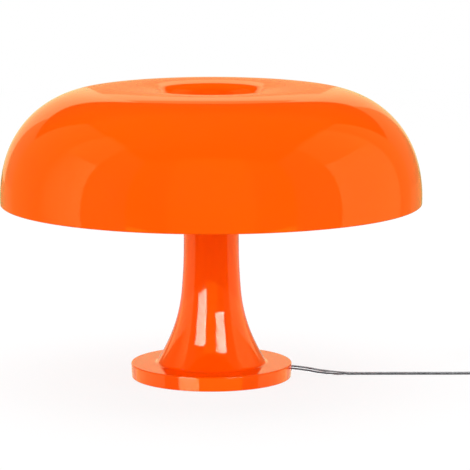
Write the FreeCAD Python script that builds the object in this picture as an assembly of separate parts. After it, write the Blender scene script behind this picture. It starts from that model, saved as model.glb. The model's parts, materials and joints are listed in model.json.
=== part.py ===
import FreeCAD, Part
import math
import os
from FreeCAD import Vector

# Mushroom table lamp, millimetres, +Z up.
# The origin is the middle of the base where it stands on the table.
# The cord leaves towards +X; left is -X and right is +X.

# Shade outline, walked from the rim over the crown into the well
SHADE_RADIUS = 160.0      # widest point
SHADE_WALL = 2.5
RIM_Z = 135.0             # rim above the table
RIM_LEAN = 3.0            # degrees the wall leans out at the rim
RIM_ROUND = 0.8           # how far the rounded rim stands below its edges
WALL_ARC = 99.0
WALL_SWEEP = 21.0
SHOULDER_ARC = 73.0
SHOULDER_SWEEP = 63.5
CROWN_ARC = 200.0
DISH_SLOPE = 6.0          # degrees the crown falls towards the well
WELL_RADIUS = 33.0        # inside the well, just under its lip
WELL_LIP = 11.0
WELL_DRAFT = 6.0
WELL_CORNER = 4.0
SKIRT_DEPTH = 7.0         # ring under the well that slips over the hub
SKIRT_WALL = 2.5

# Column: disc base and stem in one moulding
COLUMN_WALL = 2.5
COLUMN_TOP = 147.0
RIM_GAP = 0.5             # bottom edge of the base above the table
BASE_TOP = 11.5
BASE_RADIUS = 61.6
BASE_DRAFT = 3.0
BASE_EDGE = 1.0
BASE_FOOT_EDGE = 0.6
FOOT_FILLET = 3.0
FOOT_ANGLE = 31.4         # degrees from upright above the fillet
FOOT_ARC = 150.0
FLARE_ANGLE = 24.5        # degrees from upright where the two arcs meet
FLARE_ARC = 116.0
STEM_TAPER = 5.3
STEM_ARC = 406.0
STEM_RADIUS = 21.0

# Bottom of the base
FELT_THICK = 1.0
FELT_INSET = 2.5
COVER_THICK = 1.6
COVER_CLEARANCE = 0.4
COVER_SCREW_INSET = 9.1   # from the inside of the base's wall
COVER_SCREW_COUNT = 3
COVER_SCREW_START = 60.0  # degrees round from +X
BOSS_RADIUS = 3.5
SCREW_RADIUS = 1.4
SCREW_CLEARANCE = 0.1
SCREW_HEAD = 2.6
SMALL_HEAD = 2.2
HEAD_CLEARANCE = 0.1
SCREW_TIP = 0.5           # screw end beyond the wall it grips
FELT_HOLE = 1.0           # felt cut back round a screw head

# Ballast
BALLAST_LIFT = 0.6        # above the cover
BALLAST_CLEARANCE = 0.8
POCKET_TOP = 20.0
POCKET_HALF = 10.0
SLOT_TOP = 11.5
SLOT_HALF = 13.0

# Threaded tie rod, its nuts and washers
ROD_RADIUS = 5.0
ROD_BORE = 3.9
ROD_CLEARANCE = 0.3
THREAD_CLEARANCE = 0.1
ROD_PROUD = 1.5           # rod end beyond its nut
NUT_FLATS = 14.0
NUT_HEIGHT = 4.0
LOCKNUT_HEIGHT = 3.0
WASHER_RADIUS = 9.0
WASHER_THICK = 1.5

# Hub on the column that carries the lampholders and the shade
HUB_RADIUS = 20.0
HUB_WALL = 3.5
HUB_FLOOR = 3.0
HUB_HEIGHT = 33.7
HUB_BOSS_RADIUS = 9.0
HUB_BOSS_FACE = 23.0      # where each lampholder seats, from the axis
HUB_BOSS_INSIDE = 14.0
SOCKET_RISE = 16.0        # lampholder axis above the column
LEDGE_DROP = 6.0          # hub cover seat below the hub's top edge
LEDGE_STEP = 1.0
HUB_COVER_THICK = 2.5
HUB_COVER_CLEARANCE = 0.2
SEAT_CLEARANCE = 0.3      # shade to hub

# Lampholder, measured out from the lamp's axis
HOLDER_RADIUS = 13.0
HOLDER_WALL = 2.4
HOLDER_REAR = 3.0
HOLDER_CONE = 10.0
HOLDER_BACK_END = 35.0
HOLDER_END = 62.0
HOLDER_LIP = 8.6
HOLDER_EDGE = 1.0
CORE_START = 33.0
CORE_END = 38.0
CORE_CLEARANCE = 0.2
NIPPLE_END = 27.0
SHELL_INSIDE = 7.2
SHELL_THICK = 0.6
SHELL_END = 60.0
CONTACT_RADIUS = 3.0
CONTACT_THICK = 1.2

# Bulb with a small screw cap
CAP_CLEARANCE = 0.3
CAP_START = 42.0
CAP_END = 61.0
TIP_RADIUS = 2.4
TIP_HEIGHT = 1.0
TIP_STEP = 1.0            # insulating cone inside the edge of the cap
COLLAR_NECK = 7.5
COLLAR_END = 72.0
COLLAR_RADIUS = 12.5
GLOBE_RADIUS = 22.5
GLOBE_NECK = 12.0
GLOBE_WALL = 1.0

# Leads and terminal block
LEAD_RADIUS = 0.8
LEAD_OFFSET = 1.3         # from the rod's axis
LEAD_BEND = 4.0
LEAD_LOW_Z = 5.5
LEAD_HIGH_Z = 9.0
POLE_OFFSET = 3.0
BLOCK_START = 10.0
BLOCK_END = 24.0
BLOCK_HALF = 6.5
BLOCK_HEIGHT = 8.0
INSERT_RADIUS = 1.9
INSERT_BORE = 1.3
INSERT_CLEARANCE = 0.1
BLOCK_WALL = 1.0
TERMINAL_SET_BACK = 0.4
TERMINAL_END = 0.2
TERMINAL_SCREW = 1.1

# Clear flat twin cord
CORD_WIDTH = 3.8
CORD_THICK = 2.0
CORD_Z = 6.9              # where it leaves the base
BUSH_RADIUS = 2.9
BUSH_BORE = 2.1
BUSH_CLEARANCE = 0.1
BUSH_SET_BACK = 0.3       # bush face behind the base's face
CLAMP_INSET = 13.1        # from the inside of the base's wall
CLAMP_HALF = 7.0
CLAMP_REACH = 10.0
CLAMP_LENGTH = 6.0
CLAMP_THICK = 1.2
CLAMP_BOSS = 2.8
CLAMP_HEAD = 0.8

# In-line switch
SWITCH_X = 228.0
SWITCH_Y = 58.0
SWITCH_LENGTH = 50.0
SWITCH_WIDTH = 24.0
SWITCH_HEIGHT = 14.0
SWITCH_PART = 7.0
SWITCH_WALL = 2.0
SWITCH_END = 6.0
SWITCH_ROUND = 5.0
SWITCH_EDGE = 2.0
ENTRY_Z = 3.5
ENTRY_CLEARANCE = 0.4
ENTRY_DEPTH = 4.0
NOSE_LENGTH = 20.0        # tapered strain relief at each end
NOSE_START = 3.4
NOSE_END = 2.8
ROCKER_RADIUS = 10.5
ROCKER_HALF = 5.5
ROCKER_GAP = 0.35
ROCKER_TILT = 8.0
PIVOT_Z = 10.5
PIVOT_RADIUS = 1.2
PIVOT_CLEARANCE = 0.05
PIVOT_END = 0.3
LUG_LIFT = 0.5            # pivot lugs above the parting plane
CONTACT_MIDDLE = 12.5
CONTACT_REACH = 5.5
CONTACT_WIDE = 8.0
CONTACT_STRIP = 0.8

# Coil of the length that is put away
COIL_X = 284.0
COIL_Y = -28.0
COIL_RADIUS = 28.8
COIL_GAP = 0.6
COIL_EASE = 0.8           # first and last half turn stand off by this much
COIL_IN = 9               # half turns wound inwards on the lower layer
COIL_OUT = 8              # half turns wound outwards on the upper layer
END_SAG = 0.6             # of the last stretch, from the coil to the plug
TIE_WIDTH = 5.0
TIE_THICK = 0.6
TIE_CLEARANCE = 0.4
TIE_LIFT = 0.1            # lowest turn above the band

# Two-pin plug
PLUG_GAP = 34.0           # from the coil to the end of the plug's neck
PLUG_LENGTH = 28.0
PLUG_HALF = 17.6
PLUG_FLANK = 7.0
PLUG_REAR = 7.0
PLUG_THICK = 13.6
PLUG_ROUND = 2.0
NECK_LENGTH = 20.0
NECK_START = 5.5
NECK_END = 3.0
PIN_RADIUS = 2.0
PIN_CORE = 1.5
PIN_SPACING = 18.6
PIN_LENGTH = 19.0
PIN_SLEEVE = 10.0
PIN_ROOT = 8.0
PIN_CHAMFER = 0.6
PIN_END_ROOM = 0.2
SLEEVE_RADIUS = 1.7

OVERRUN = 1.0             # how far a cut or a root runs past a face

# Levels and radii that follow from the sizes above
COVER_TOP = FELT_THICK + COVER_THICK
CEILING = BASE_TOP - COLUMN_WALL
INNER_RIM = BASE_RADIUS - COLUMN_WALL
COVER_SCREW_CIRCLE = INNER_RIM - COVER_SCREW_INSET
CLAMP_X = INNER_RIM - CLAMP_INSET
BALLAST_BOTTOM = COVER_TOP + BALLAST_LIFT
SOCKET_Z = COLUMN_TOP + SOCKET_RISE
HUB_TOP = COLUMN_TOP + HUB_HEIGHT
WELL_UNDER = HUB_TOP + SEAT_CLEARANCE
WELL_FLOOR = WELL_UNDER + SHADE_WALL
UPPER_NUT = COLUMN_TOP + HUB_FLOOR + WASHER_THICK
ROD_TOP = UPPER_NUT + NUT_HEIGHT + ROD_PROUD
LOWER_NUT = POCKET_TOP - WASHER_THICK - NUT_HEIGHT
ROD_BOTTOM = LOWER_NUT - ROD_PROUD
CORD_UNDER = CORD_Z - CORD_THICK / 2
CORD_FLOOR = CORD_THICK / 2
CORD_EXIT = BASE_RADIUS
CAP_RADIUS = SHELL_INSIDE - CAP_CLEARANCE
COIL_LOW = TIE_THICK + TIE_LIFT + CORD_WIDTH / 2
COIL_HIGH = COIL_LOW + CORD_WIDTH + COIL_GAP
COIL_PITCH = CORD_THICK + COIL_GAP
COIL_START_X = COIL_X + COIL_EASE
COIL_END_X = COIL_X - COIL_PITCH + COIL_EASE
PLUG_Z = PLUG_THICK / 2

UP = Vector(0, 0, 1)
LEFT_RIGHT = {"left": 180.0, "right": 0.0}


# Drawing helpers

def line(a, b):
    return Part.LineSegment(a, b).toShape()


def walk(start, heading, moves):
    """Smooth outline in the XZ plane: its edges, end point and end heading.

    A move is (length,) for a straight run or (radius, turn) for an arc that
    turns left by that many degrees, or right if negative.
    """
    edges = []
    x, z = start
    for move in moves:
        angle = math.radians(heading)
        if len(move) == 1:
            nx = x + move[0] * math.cos(angle)
            nz = z + move[0] * math.sin(angle)
            edges.append(line(Vector(x, 0, z), Vector(nx, 0, nz)))
        else:
            radius, turn = move
            quarter = math.copysign(math.pi / 2, turn)
            cx = x + radius * math.cos(angle + quarter)
            cz = z + radius * math.sin(angle + quarter)
            spots = []
            for share in (0.5, 1.0):
                spoke = angle + math.radians(turn) * share - quarter
                spots.append((cx + radius * math.cos(spoke), cz + radius * math.sin(spoke)))
            (mx, mz), (nx, nz) = spots
            edges.append(Part.Arc(Vector(x, 0, z), Vector(mx, 0, mz), Vector(nx, 0, nz)).toShape())
            heading += turn
        x, z = nx, nz
    return edges, (x, z), heading


def beside(moves, gap):
    """The same moves on a parallel outline that lies a gap to the left."""
    result = []
    for move in moves:
        if len(move) == 1:
            result.append(move)
        else:
            radius, turn = move
            result.append((radius - math.copysign(gap, turn), turn))
    return result


def polygon(points):
    """Closed outline through (x, z) points in the XZ plane."""
    spots = [Vector(x, 0, z) for x, z in points]
    return [line(a, b) for a, b in zip(spots, spots[1:] + spots[:1])]


def turned(edges, axis=UP):
    """Solid that a closed outline in the XZ plane sweeps round an axis."""
    face = Part.Face(Part.Wire(Part.__sortEdges__(edges)))
    return face.revolve(Vector(0, 0, 0), axis, 360)


def ring(inner, outer, low, high):
    height = high - low
    tube = Part.makeCylinder(outer, height, Vector(0, 0, low))
    return tube.cut(Part.makeCylinder(inner, height, Vector(0, 0, low)))


def box(x0, x1, y0, y1, z0, z1):
    return Part.makeBox(x1 - x0, y1 - y0, z1 - z0, Vector(x0, y0, z0))


def upright(radius, x, y, low, high):
    return Part.makeCylinder(radius, high - low, Vector(x, y, low))


def lying(radius, start, end, y=0.0, z=0.0):
    """Cylinder along X."""
    return Part.makeCylinder(radius, end - start, Vector(start, y, z), Vector(1, 0, 0))


def hexagon(flats, height, base, axis=UP):
    corner = flats / math.sqrt(3)
    spots = []
    for step in range(7):
        angle = math.radians(60 * step)
        spots.append(Vector(corner * math.cos(angle), corner * math.sin(angle), 0))
    prism = Part.Face(Part.makePolygon(spots)).extrude(Vector(0, 0, height))
    prism.Placement = FreeCAD.Placement(base, FreeCAD.Rotation(UP, axis))
    return prism


def at_side(shape, side):
    """Place a lampholder piece drawn along +X on its side of the hub."""
    shape = shape.copy()
    shape.rotate(Vector(0, 0, 0), UP, LEFT_RIGHT[side])
    shape.translate(Vector(0, 0, SOCKET_Z))
    return shape


def round_the_base(radius):
    """Places of the cover screws."""
    places = []
    for step in range(COVER_SCREW_COUNT):
        angle = math.radians(COVER_SCREW_START + 360.0 / COVER_SCREW_COUNT * step)
        places.append((radius * math.cos(angle), radius * math.sin(angle)))
    return places


def route(points, bend=None):
    """Wire of straight runs joined by tangent arcs, its length and its least radius."""
    edges = []
    radii = []
    last = points[0]
    for before, corner, after in zip(points, points[1:], points[2:]):
        run_in = (before - corner).Length
        run_out = (after - corner).Length
        back = (before - corner).normalize()
        ahead = (after - corner).normalize()
        half_turn = (math.pi - back.getAngle(ahead)) / 2
        radius = bend or 0.45 * min(run_in, run_out) / math.tan(half_turn)
        reach = radius * math.tan(half_turn)
        start = corner + back * reach
        end = corner + ahead * reach
        middle = (back + ahead).normalize()
        crown = corner + middle * (radius / math.cos(half_turn) - radius)
        edges.append(line(last, start))
        edges.append(Part.Arc(start, crown, end).toShape())
        radii.append(radius)
        last = end
    edges.append(line(last, points[-1]))
    wire = Part.Wire(edges)
    return wire, wire.Length, min(radii)


def flat_section(centre, ahead, across):
    """Outline of the twin cord square to its way; across is its wide direction."""
    thin = ahead.cross(across).normalize() * (CORD_THICK / 2)
    tip = Vector(across).normalize() * (CORD_THICK / 2)
    wide = Vector(across).normalize() * ((CORD_WIDTH - CORD_THICK) / 2)
    a = centre + wide + thin
    b = centre - wide + thin
    c = centre - wide - thin
    d = centre + wide - thin
    edges = [
        line(a, b),
        Part.Arc(b, centre - wide - tip, c).toShape(),
        line(c, d),
        Part.Arc(d, centre + wide + tip, a).toShape(),
    ]
    return Part.Wire(edges)


def cord_along(path, start, ahead, across):
    """Twin cord swept along a path without rolling over."""
    shell = Part.BRepOffsetAPI.MakePipeShell(path)
    shell.setBiNormalMode(UP)
    shell.add(flat_section(start, ahead, across))
    shell.build()
    shell.makeSolid()
    return shell.shape()


def cord_area():
    return CORD_THICK * (CORD_WIDTH - CORD_THICK) + math.pi * CORD_THICK ** 2 / 4


# Shade

def make_shade():
    rim = (SHADE_RADIUS - WALL_ARC * (1 - math.cos(math.radians(RIM_LEAN))), RIM_Z)
    heading = 90 - RIM_LEAN
    crown_sweep = 180 - heading - WALL_SWEEP - SHOULDER_SWEEP
    cap = [
        (WALL_ARC, WALL_SWEEP),
        (SHOULDER_ARC, SHOULDER_SWEEP),
        (CROWN_ARC, crown_sweep + DISH_SLOPE),
    ]
    brow = walk(rim, heading, cap)[1]
    fall = math.radians(DISH_SLOPE)
    draft = math.radians(WELL_DRAFT)
    dish = (brow[0] - WELL_RADIUS - WELL_LIP * (math.cos(draft) - math.sin(fall))) / math.cos(fall)
    lip_z = brow[1] - dish * math.sin(fall)
    lip_drop = WELL_LIP * (math.cos(fall) - math.sin(draft))
    drop = lip_z - lip_drop - WELL_FLOOR - WELL_CORNER * (1 - math.sin(draft))
    floor = WELL_RADIUS - drop * math.tan(draft) - WELL_CORNER * math.cos(draft)
    well = [
        (dish,),
        (WELL_LIP, 90 - WELL_DRAFT - DISH_SLOPE),
        (drop / math.cos(draft),),
        (WELL_CORNER, WELL_DRAFT - 90),
        (floor,),
    ]
    outside, top, _ = walk(rim, heading, cap + well)
    angle = math.radians(heading)
    inner_rim = (rim[0] - SHADE_WALL * math.sin(angle), rim[1] + SHADE_WALL * math.cos(angle))
    inside, under, _ = walk(inner_rim, heading, beside(cap + well, SHADE_WALL))
    low = Vector((rim[0] + inner_rim[0]) / 2, 0, (rim[1] + inner_rim[1]) / 2 - RIM_ROUND)
    edge = Part.Arc(Vector(rim[0], 0, rim[1]), low, Vector(inner_rim[0], 0, inner_rim[1])).toShape()
    middle = line(Vector(0, 0, top[1]), Vector(0, 0, under[1]))
    shell = turned(outside + inside + [edge, middle])
    skirt_inside = HUB_RADIUS + SEAT_CLEARANCE
    skirt_low = WELL_UNDER - SKIRT_DEPTH
    skirt = ring(skirt_inside, skirt_inside + SKIRT_WALL, skirt_low, WELL_UNDER + OVERRUN)
    return shell.fuse(skirt).removeSplitter()


# Column

def stem_moves():
    """Outline of the column from the foot of the flare up to the straight stem."""
    return [
        (FOOT_FILLET, FOOT_ANGLE - 90),
        (FOOT_ARC, FLARE_ANGLE - FOOT_ANGLE),
        (FLARE_ARC, STEM_TAPER - FLARE_ANGLE),
        (STEM_ARC, -STEM_TAPER),
    ]


def foot_radius():
    """Where the fillet of the foot runs out on the top of the base."""
    end = walk((0.0, 0.0), 180.0, stem_moves())[1]
    return STEM_RADIUS - end[0]


def make_column():
    foot = foot_radius()
    draft = math.radians(BASE_DRAFT)
    low = BASE_RADIUS - (BASE_TOP - RIM_GAP) * math.tan(draft) - BASE_FOOT_EDGE
    rounds = BASE_FOOT_EDGE * (1 - math.sin(draft)) + BASE_EDGE * (1 + math.sin(draft))
    rise = BASE_TOP - RIM_GAP - rounds
    side = [
        (BASE_FOOT_EDGE, 90 - BASE_DRAFT),
        (rise / math.cos(draft),),
        (BASE_EDGE, 90 + BASE_DRAFT),
    ]
    base, shoulder, _ = walk((low, RIM_GAP), 0.0, side)
    stem, neck, _ = walk((foot, BASE_TOP), 180.0, stem_moves())
    hollow, throat, _ = walk((foot, CEILING), 180.0, beside(stem_moves(), COLUMN_WALL))
    under_top = COLUMN_TOP - COLUMN_WALL
    outline = base + stem + hollow
    top = [(neck[0], COLUMN_TOP), (0.0, COLUMN_TOP), (0.0, under_top), (throat[0], under_top)]
    links = [
        [shoulder, (foot, BASE_TOP)],
        [neck] + top + [throat],
        [(foot, CEILING), (INNER_RIM, CEILING), (INNER_RIM, RIM_GAP), (low, RIM_GAP)],
    ]
    for chain in links:
        for a, b in zip(chain, chain[1:]):
            outline.append(line(Vector(a[0], 0, a[1]), Vector(b[0], 0, b[1])))
    column = turned(outline)
    root = CEILING + OVERRUN
    for x, y in round_the_base(COVER_SCREW_CIRCLE):
        column = column.fuse(upright(BOSS_RADIUS, x, y, COVER_TOP, root))
    for y in (-CLAMP_HALF, CLAMP_HALF):
        column = column.fuse(upright(CLAMP_BOSS, CLAMP_X, y, CORD_UNDER, root))
    pilot = SCREW_RADIUS + SCREW_CLEARANCE
    for x, y in round_the_base(COVER_SCREW_CIRCLE):
        column = column.cut(upright(pilot, x, y, COVER_TOP - OVERRUN, root))
    for y in (-CLAMP_HALF, CLAMP_HALF):
        column = column.cut(upright(pilot, CLAMP_X, y, CORD_UNDER - OVERRUN, root))
    rod_hole = upright(ROD_RADIUS + ROD_CLEARANCE, 0, 0, under_top - OVERRUN, COLUMN_TOP + OVERRUN)
    bush_hole = lying(BUSH_RADIUS + BUSH_CLEARANCE, INNER_RIM - OVERRUN, BASE_RADIUS + OVERRUN, 0, CORD_Z)
    return column.cut(rod_hole).cut(bush_hole).removeSplitter()


# Bottom of the base

def make_felt():
    felt = Part.makeCylinder(INNER_RIM - FELT_INSET, FELT_THICK)
    for x, y in round_the_base(COVER_SCREW_CIRCLE):
        felt = felt.cut(upright(SCREW_HEAD + FELT_HOLE, x, y, -OVERRUN, FELT_THICK + OVERRUN))
    return felt


def countersunk(x, y, growth):
    """Space of a cover screw's head in the cover, or the head itself with no growth."""
    return Part.makeCone(
        SCREW_HEAD + growth, SCREW_RADIUS + growth, COVER_THICK, Vector(x, y, FELT_THICK)
    )


def make_cover():
    cover = upright(INNER_RIM - COVER_CLEARANCE, 0, 0, FELT_THICK, COVER_TOP)
    for x, y in round_the_base(COVER_SCREW_CIRCLE):
        cover = cover.cut(countersunk(x, y, SCREW_CLEARANCE))
    return cover


def make_cover_screws():
    screws = []
    for x, y in round_the_base(COVER_SCREW_CIRCLE):
        shank = upright(SCREW_RADIUS, x, y, COVER_TOP, CEILING + SCREW_TIP)
        screws.append(countersunk(x, y, 0.0).fuse(shank).removeSplitter())
    return Part.makeCompound(screws)


def make_ballast():
    cone_top = walk((foot_radius(), CEILING), 180.0, beside(stem_moves()[:2], COLUMN_WALL))[1]
    slope = math.tan(math.radians(FLARE_ANGLE))
    narrow = cone_top[0] - BALLAST_CLEARANCE
    wide = narrow + (cone_top[1] - CEILING) * slope
    bore = ROD_RADIUS + ROD_CLEARANCE
    outer = INNER_RIM - BALLAST_CLEARANCE
    ballast = turned(polygon([
        (bore, BALLAST_BOTTOM), (outer, BALLAST_BOTTOM), (outer, CEILING),
        (wide, CEILING), (narrow, cone_top[1]), (bore, cone_top[1]),
    ]))
    below = BALLAST_BOTTOM - OVERRUN
    pocket = box(-POCKET_HALF, POCKET_HALF, -POCKET_HALF, POCKET_HALF, below, POCKET_TOP)
    slot = box(0, outer + OVERRUN, -SLOT_HALF, SLOT_HALF, below, SLOT_TOP)
    ballast = ballast.cut(pocket).cut(slot)
    for x, y in round_the_base(COVER_SCREW_CIRCLE):
        room = BOSS_RADIUS + BALLAST_CLEARANCE
        ballast = ballast.cut(upright(room, x, y, below, CEILING + OVERRUN))
    return ballast


# Tie rod

def make_nut(low, height):
    nut = hexagon(NUT_FLATS, height, Vector(0, 0, low))
    return nut.cut(upright(ROD_RADIUS + THREAD_CLEARANCE, 0, 0, low, low + height))


def make_washer(low):
    return ring(ROD_RADIUS + ROD_CLEARANCE, WASHER_RADIUS, low, low + WASHER_THICK)


# Hub

def make_hub():
    inside = HUB_RADIUS - HUB_WALL
    ledge = HUB_TOP - LEDGE_DROP
    floor = COLUMN_TOP + HUB_FLOOR
    seat = inside + LEDGE_STEP
    hub = turned(polygon([
        (0, COLUMN_TOP), (HUB_RADIUS, COLUMN_TOP), (HUB_RADIUS, HUB_TOP), (seat, HUB_TOP),
        (seat, ledge), (inside, ledge), (inside, floor), (0, floor),
    ]))
    for side in LEFT_RIGHT:
        hub = hub.fuse(at_side(lying(HUB_BOSS_RADIUS, HUB_BOSS_INSIDE, HUB_BOSS_FACE), side))
    for side in LEFT_RIGHT:
        bore = lying(ROD_RADIUS + ROD_CLEARANCE, HUB_BOSS_INSIDE - OVERRUN, HUB_BOSS_FACE + OVERRUN)
        hub = hub.cut(at_side(bore, side))
    rod_hole = upright(ROD_RADIUS + ROD_CLEARANCE, 0, 0, COLUMN_TOP - OVERRUN, floor + OVERRUN)
    return hub.cut(rod_hole).removeSplitter()


def make_hub_cover():
    ledge = HUB_TOP - LEDGE_DROP
    radius = HUB_RADIUS - HUB_WALL + LEDGE_STEP - HUB_COVER_CLEARANCE
    return upright(radius, 0, 0, ledge, ledge + HUB_COVER_THICK)


# Lampholders, drawn along +X about the X axis

def make_nipple():
    start = HUB_BOSS_INSIDE - LOCKNUT_HEIGHT
    return lying(ROD_RADIUS, start, NIPPLE_END).cut(lying(ROD_BORE, start, NIPPLE_END))


def make_locknut():
    start = HUB_BOSS_INSIDE - LOCKNUT_HEIGHT
    nut = hexagon(NUT_FLATS, LOCKNUT_HEIGHT, Vector(start, 0, 0), Vector(1, 0, 0))
    return nut.cut(lying(ROD_RADIUS + THREAD_CLEARANCE, start, HUB_BOSS_INSIDE))


def make_holder_back():
    inside = HOLDER_RADIUS - HOLDER_WALL
    bore = ROD_RADIUS + THREAD_CLEARANCE
    front = HUB_BOSS_FACE + HOLDER_REAR
    return turned(polygon([
        (HUB_BOSS_FACE, bore), (HUB_BOSS_FACE, HUB_BOSS_RADIUS),
        (HUB_BOSS_FACE + HOLDER_CONE, HOLDER_RADIUS), (HOLDER_BACK_END, HOLDER_RADIUS),
        (HOLDER_BACK_END, inside), (HUB_BOSS_FACE + HOLDER_CONE, inside),
        (front, HUB_BOSS_RADIUS - HOLDER_WALL), (front, bore),
    ]), Vector(1, 0, 0))


def make_holder_sleeve():
    inside = HOLDER_RADIUS - HOLDER_WALL
    return turned(polygon([
        (HOLDER_BACK_END, inside), (HOLDER_BACK_END, HOLDER_RADIUS),
        (HOLDER_END - HOLDER_EDGE, HOLDER_RADIUS), (HOLDER_END, HOLDER_RADIUS - HOLDER_EDGE),
        (HOLDER_END, HOLDER_LIP), (SHELL_END, HOLDER_LIP), (SHELL_END, inside),
    ]), Vector(1, 0, 0))


def make_holder_core():
    return lying(HOLDER_RADIUS - HOLDER_WALL - CORE_CLEARANCE, CORE_START, CORE_END)


def make_holder_shell():
    outer = lying(SHELL_INSIDE + SHELL_THICK, CORE_END, SHELL_END)
    return outer.cut(lying(SHELL_INSIDE, CORE_END, SHELL_END))


def make_holder_contact():
    return lying(CONTACT_RADIUS, CORE_END, CORE_END + CONTACT_THICK)


# Bulbs, drawn along +X about the X axis

def make_bulb_cap():
    return lying(CAP_RADIUS, CAP_START, CAP_END)


def make_bulb_tip():
    start = CORE_END + CONTACT_THICK + CAP_CLEARANCE
    return turned(polygon([
        (start, 0), (start, TIP_RADIUS), (start + TIP_HEIGHT, TIP_RADIUS),
        (CAP_START, CAP_RADIUS - TIP_STEP), (CAP_START, 0),
    ]), Vector(1, 0, 0))


def make_bulb_collar():
    return turned(polygon([
        (CAP_END, 0), (CAP_END, COLLAR_NECK), (HOLDER_END, COLLAR_NECK),
        (COLLAR_END, COLLAR_RADIUS), (COLLAR_END, 0),
    ]), Vector(1, 0, 0))


def globe_outline(radius, centre):
    """Start, middle and end of the globe's curve from its neck to its far end."""
    start = math.pi - math.asin(math.sqrt(radius ** 2 - (COLLAR_END - centre) ** 2) / radius)
    spots = []
    for angle in (start, start / 2, 0.0):
        spots.append(Vector(centre + radius * math.cos(angle), 0, radius * math.sin(angle)))
    return spots


def make_bulb_globe():
    centre = COLLAR_END + math.sqrt(GLOBE_RADIUS ** 2 - GLOBE_NECK ** 2)
    outer = globe_outline(GLOBE_RADIUS, centre)
    inner = globe_outline(GLOBE_RADIUS - GLOBE_WALL, centre)
    edges = [
        Part.Arc(*outer).toShape(), line(outer[2], inner[2]),
        Part.Arc(*inner).toShape(), line(inner[0], outer[0]),
    ]
    return turned(edges, Vector(1, 0, 0))


# Leads and terminal block

def make_lead(side, pole):
    """One insulated wire from the terminal block up the rod to a lampholder."""
    sign = 1.0 if side == "right" else -1.0
    low = LEAD_HIGH_Z if side == "right" else LEAD_LOW_Z
    points = [
        Vector(BLOCK_START, pole * POLE_OFFSET, low),
        Vector(sign * LEAD_OFFSET, pole * LEAD_OFFSET, low),
        Vector(sign * LEAD_OFFSET, pole * LEAD_OFFSET, SOCKET_Z),
        Vector(sign * CORE_START, pole * LEAD_OFFSET, SOCKET_Z),
    ]
    path = route(points, LEAD_BEND)[0]
    outline = Part.Wire(Part.makeCircle(LEAD_RADIUS, points[0], points[1] - points[0]))
    return path.makePipeShell([outline], True, False)


def make_terminal_block():
    block = box(BLOCK_START, BLOCK_END, -BLOCK_HALF, BLOCK_HALF, SLOT_TOP - BLOCK_HEIGHT, SLOT_TOP)
    middle = SLOT_TOP - BLOCK_HEIGHT / 2
    for y in (-POLE_OFFSET, POLE_OFFSET):
        block = block.cut(lying(INSERT_RADIUS, BLOCK_START + BLOCK_WALL, BLOCK_END - BLOCK_WALL, y, middle))
        for x in terminal_places():
            low = SLOT_TOP - BLOCK_HEIGHT - OVERRUN
            block = block.cut(upright(TERMINAL_SCREW + SCREW_CLEARANCE, x, y, low, middle))
    return block


def terminal_places():
    quarter = (BLOCK_END - BLOCK_START) / 4
    return (BLOCK_START + quarter, BLOCK_END - quarter)


def make_terminal_inserts():
    inserts = []
    middle = SLOT_TOP - BLOCK_HEIGHT / 2
    inset = BLOCK_WALL + INSERT_CLEARANCE
    for y in (-POLE_OFFSET, POLE_OFFSET):
        outer = INSERT_RADIUS - INSERT_CLEARANCE
        tube = lying(outer, BLOCK_START + inset, BLOCK_END - inset, y, middle)
        tube = tube.cut(lying(INSERT_BORE, BLOCK_START, BLOCK_END, y, middle))
        for x in terminal_places():
            tube = tube.cut(upright(TERMINAL_SCREW + SCREW_CLEARANCE, x, y, 0, middle))
        inserts.append(tube)
    return Part.makeCompound(inserts)


def make_terminal_screws():
    screws = []
    low = SLOT_TOP - BLOCK_HEIGHT + TERMINAL_SET_BACK
    high = SLOT_TOP - BLOCK_HEIGHT / 2 - TERMINAL_END
    for y in (-POLE_OFFSET, POLE_OFFSET):
        for x in terminal_places():
            screws.append(upright(TERMINAL_SCREW, x, y, low, high))
    return Part.makeCompound(screws)


# Cord inside the base

def make_bush():
    start = INNER_RIM
    end = BASE_RADIUS - BUSH_SET_BACK
    return lying(BUSH_RADIUS, start, end, 0, CORD_Z).cut(lying(BUSH_BORE, start, end, 0, CORD_Z))


def make_clamp():
    half = CLAMP_LENGTH / 2
    low = CORD_UNDER - CLAMP_THICK
    bar = box(CLAMP_X - half, CLAMP_X + half, -CLAMP_REACH, CLAMP_REACH, low, CORD_UNDER)
    for y in (-CLAMP_HALF, CLAMP_HALF):
        bar = bar.cut(upright(SCREW_RADIUS + SCREW_CLEARANCE, CLAMP_X, y, low, CORD_UNDER))
    return bar


def make_clamp_screws():
    screws = []
    low = CORD_UNDER - CLAMP_THICK
    for y in (-CLAMP_HALF, CLAMP_HALF):
        head = upright(SMALL_HEAD, CLAMP_X, y, low - CLAMP_HEAD, low)
        shank = upright(SCREW_RADIUS, CLAMP_X, y, low, CEILING + SCREW_TIP)
        screws.append(head.fuse(shank).removeSplitter())
    return Part.makeCompound(screws)


def make_inner_cord():
    start = Vector(BLOCK_END, 0, CORD_Z)
    outline = flat_section(start, Vector(1, 0, 0), Vector(0, 1, 0))
    return Part.Face(outline).extrude(Vector(CORD_EXIT - BLOCK_END, 0, 0))


# Free cord: route points are places on the table, so they stay as chosen

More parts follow.
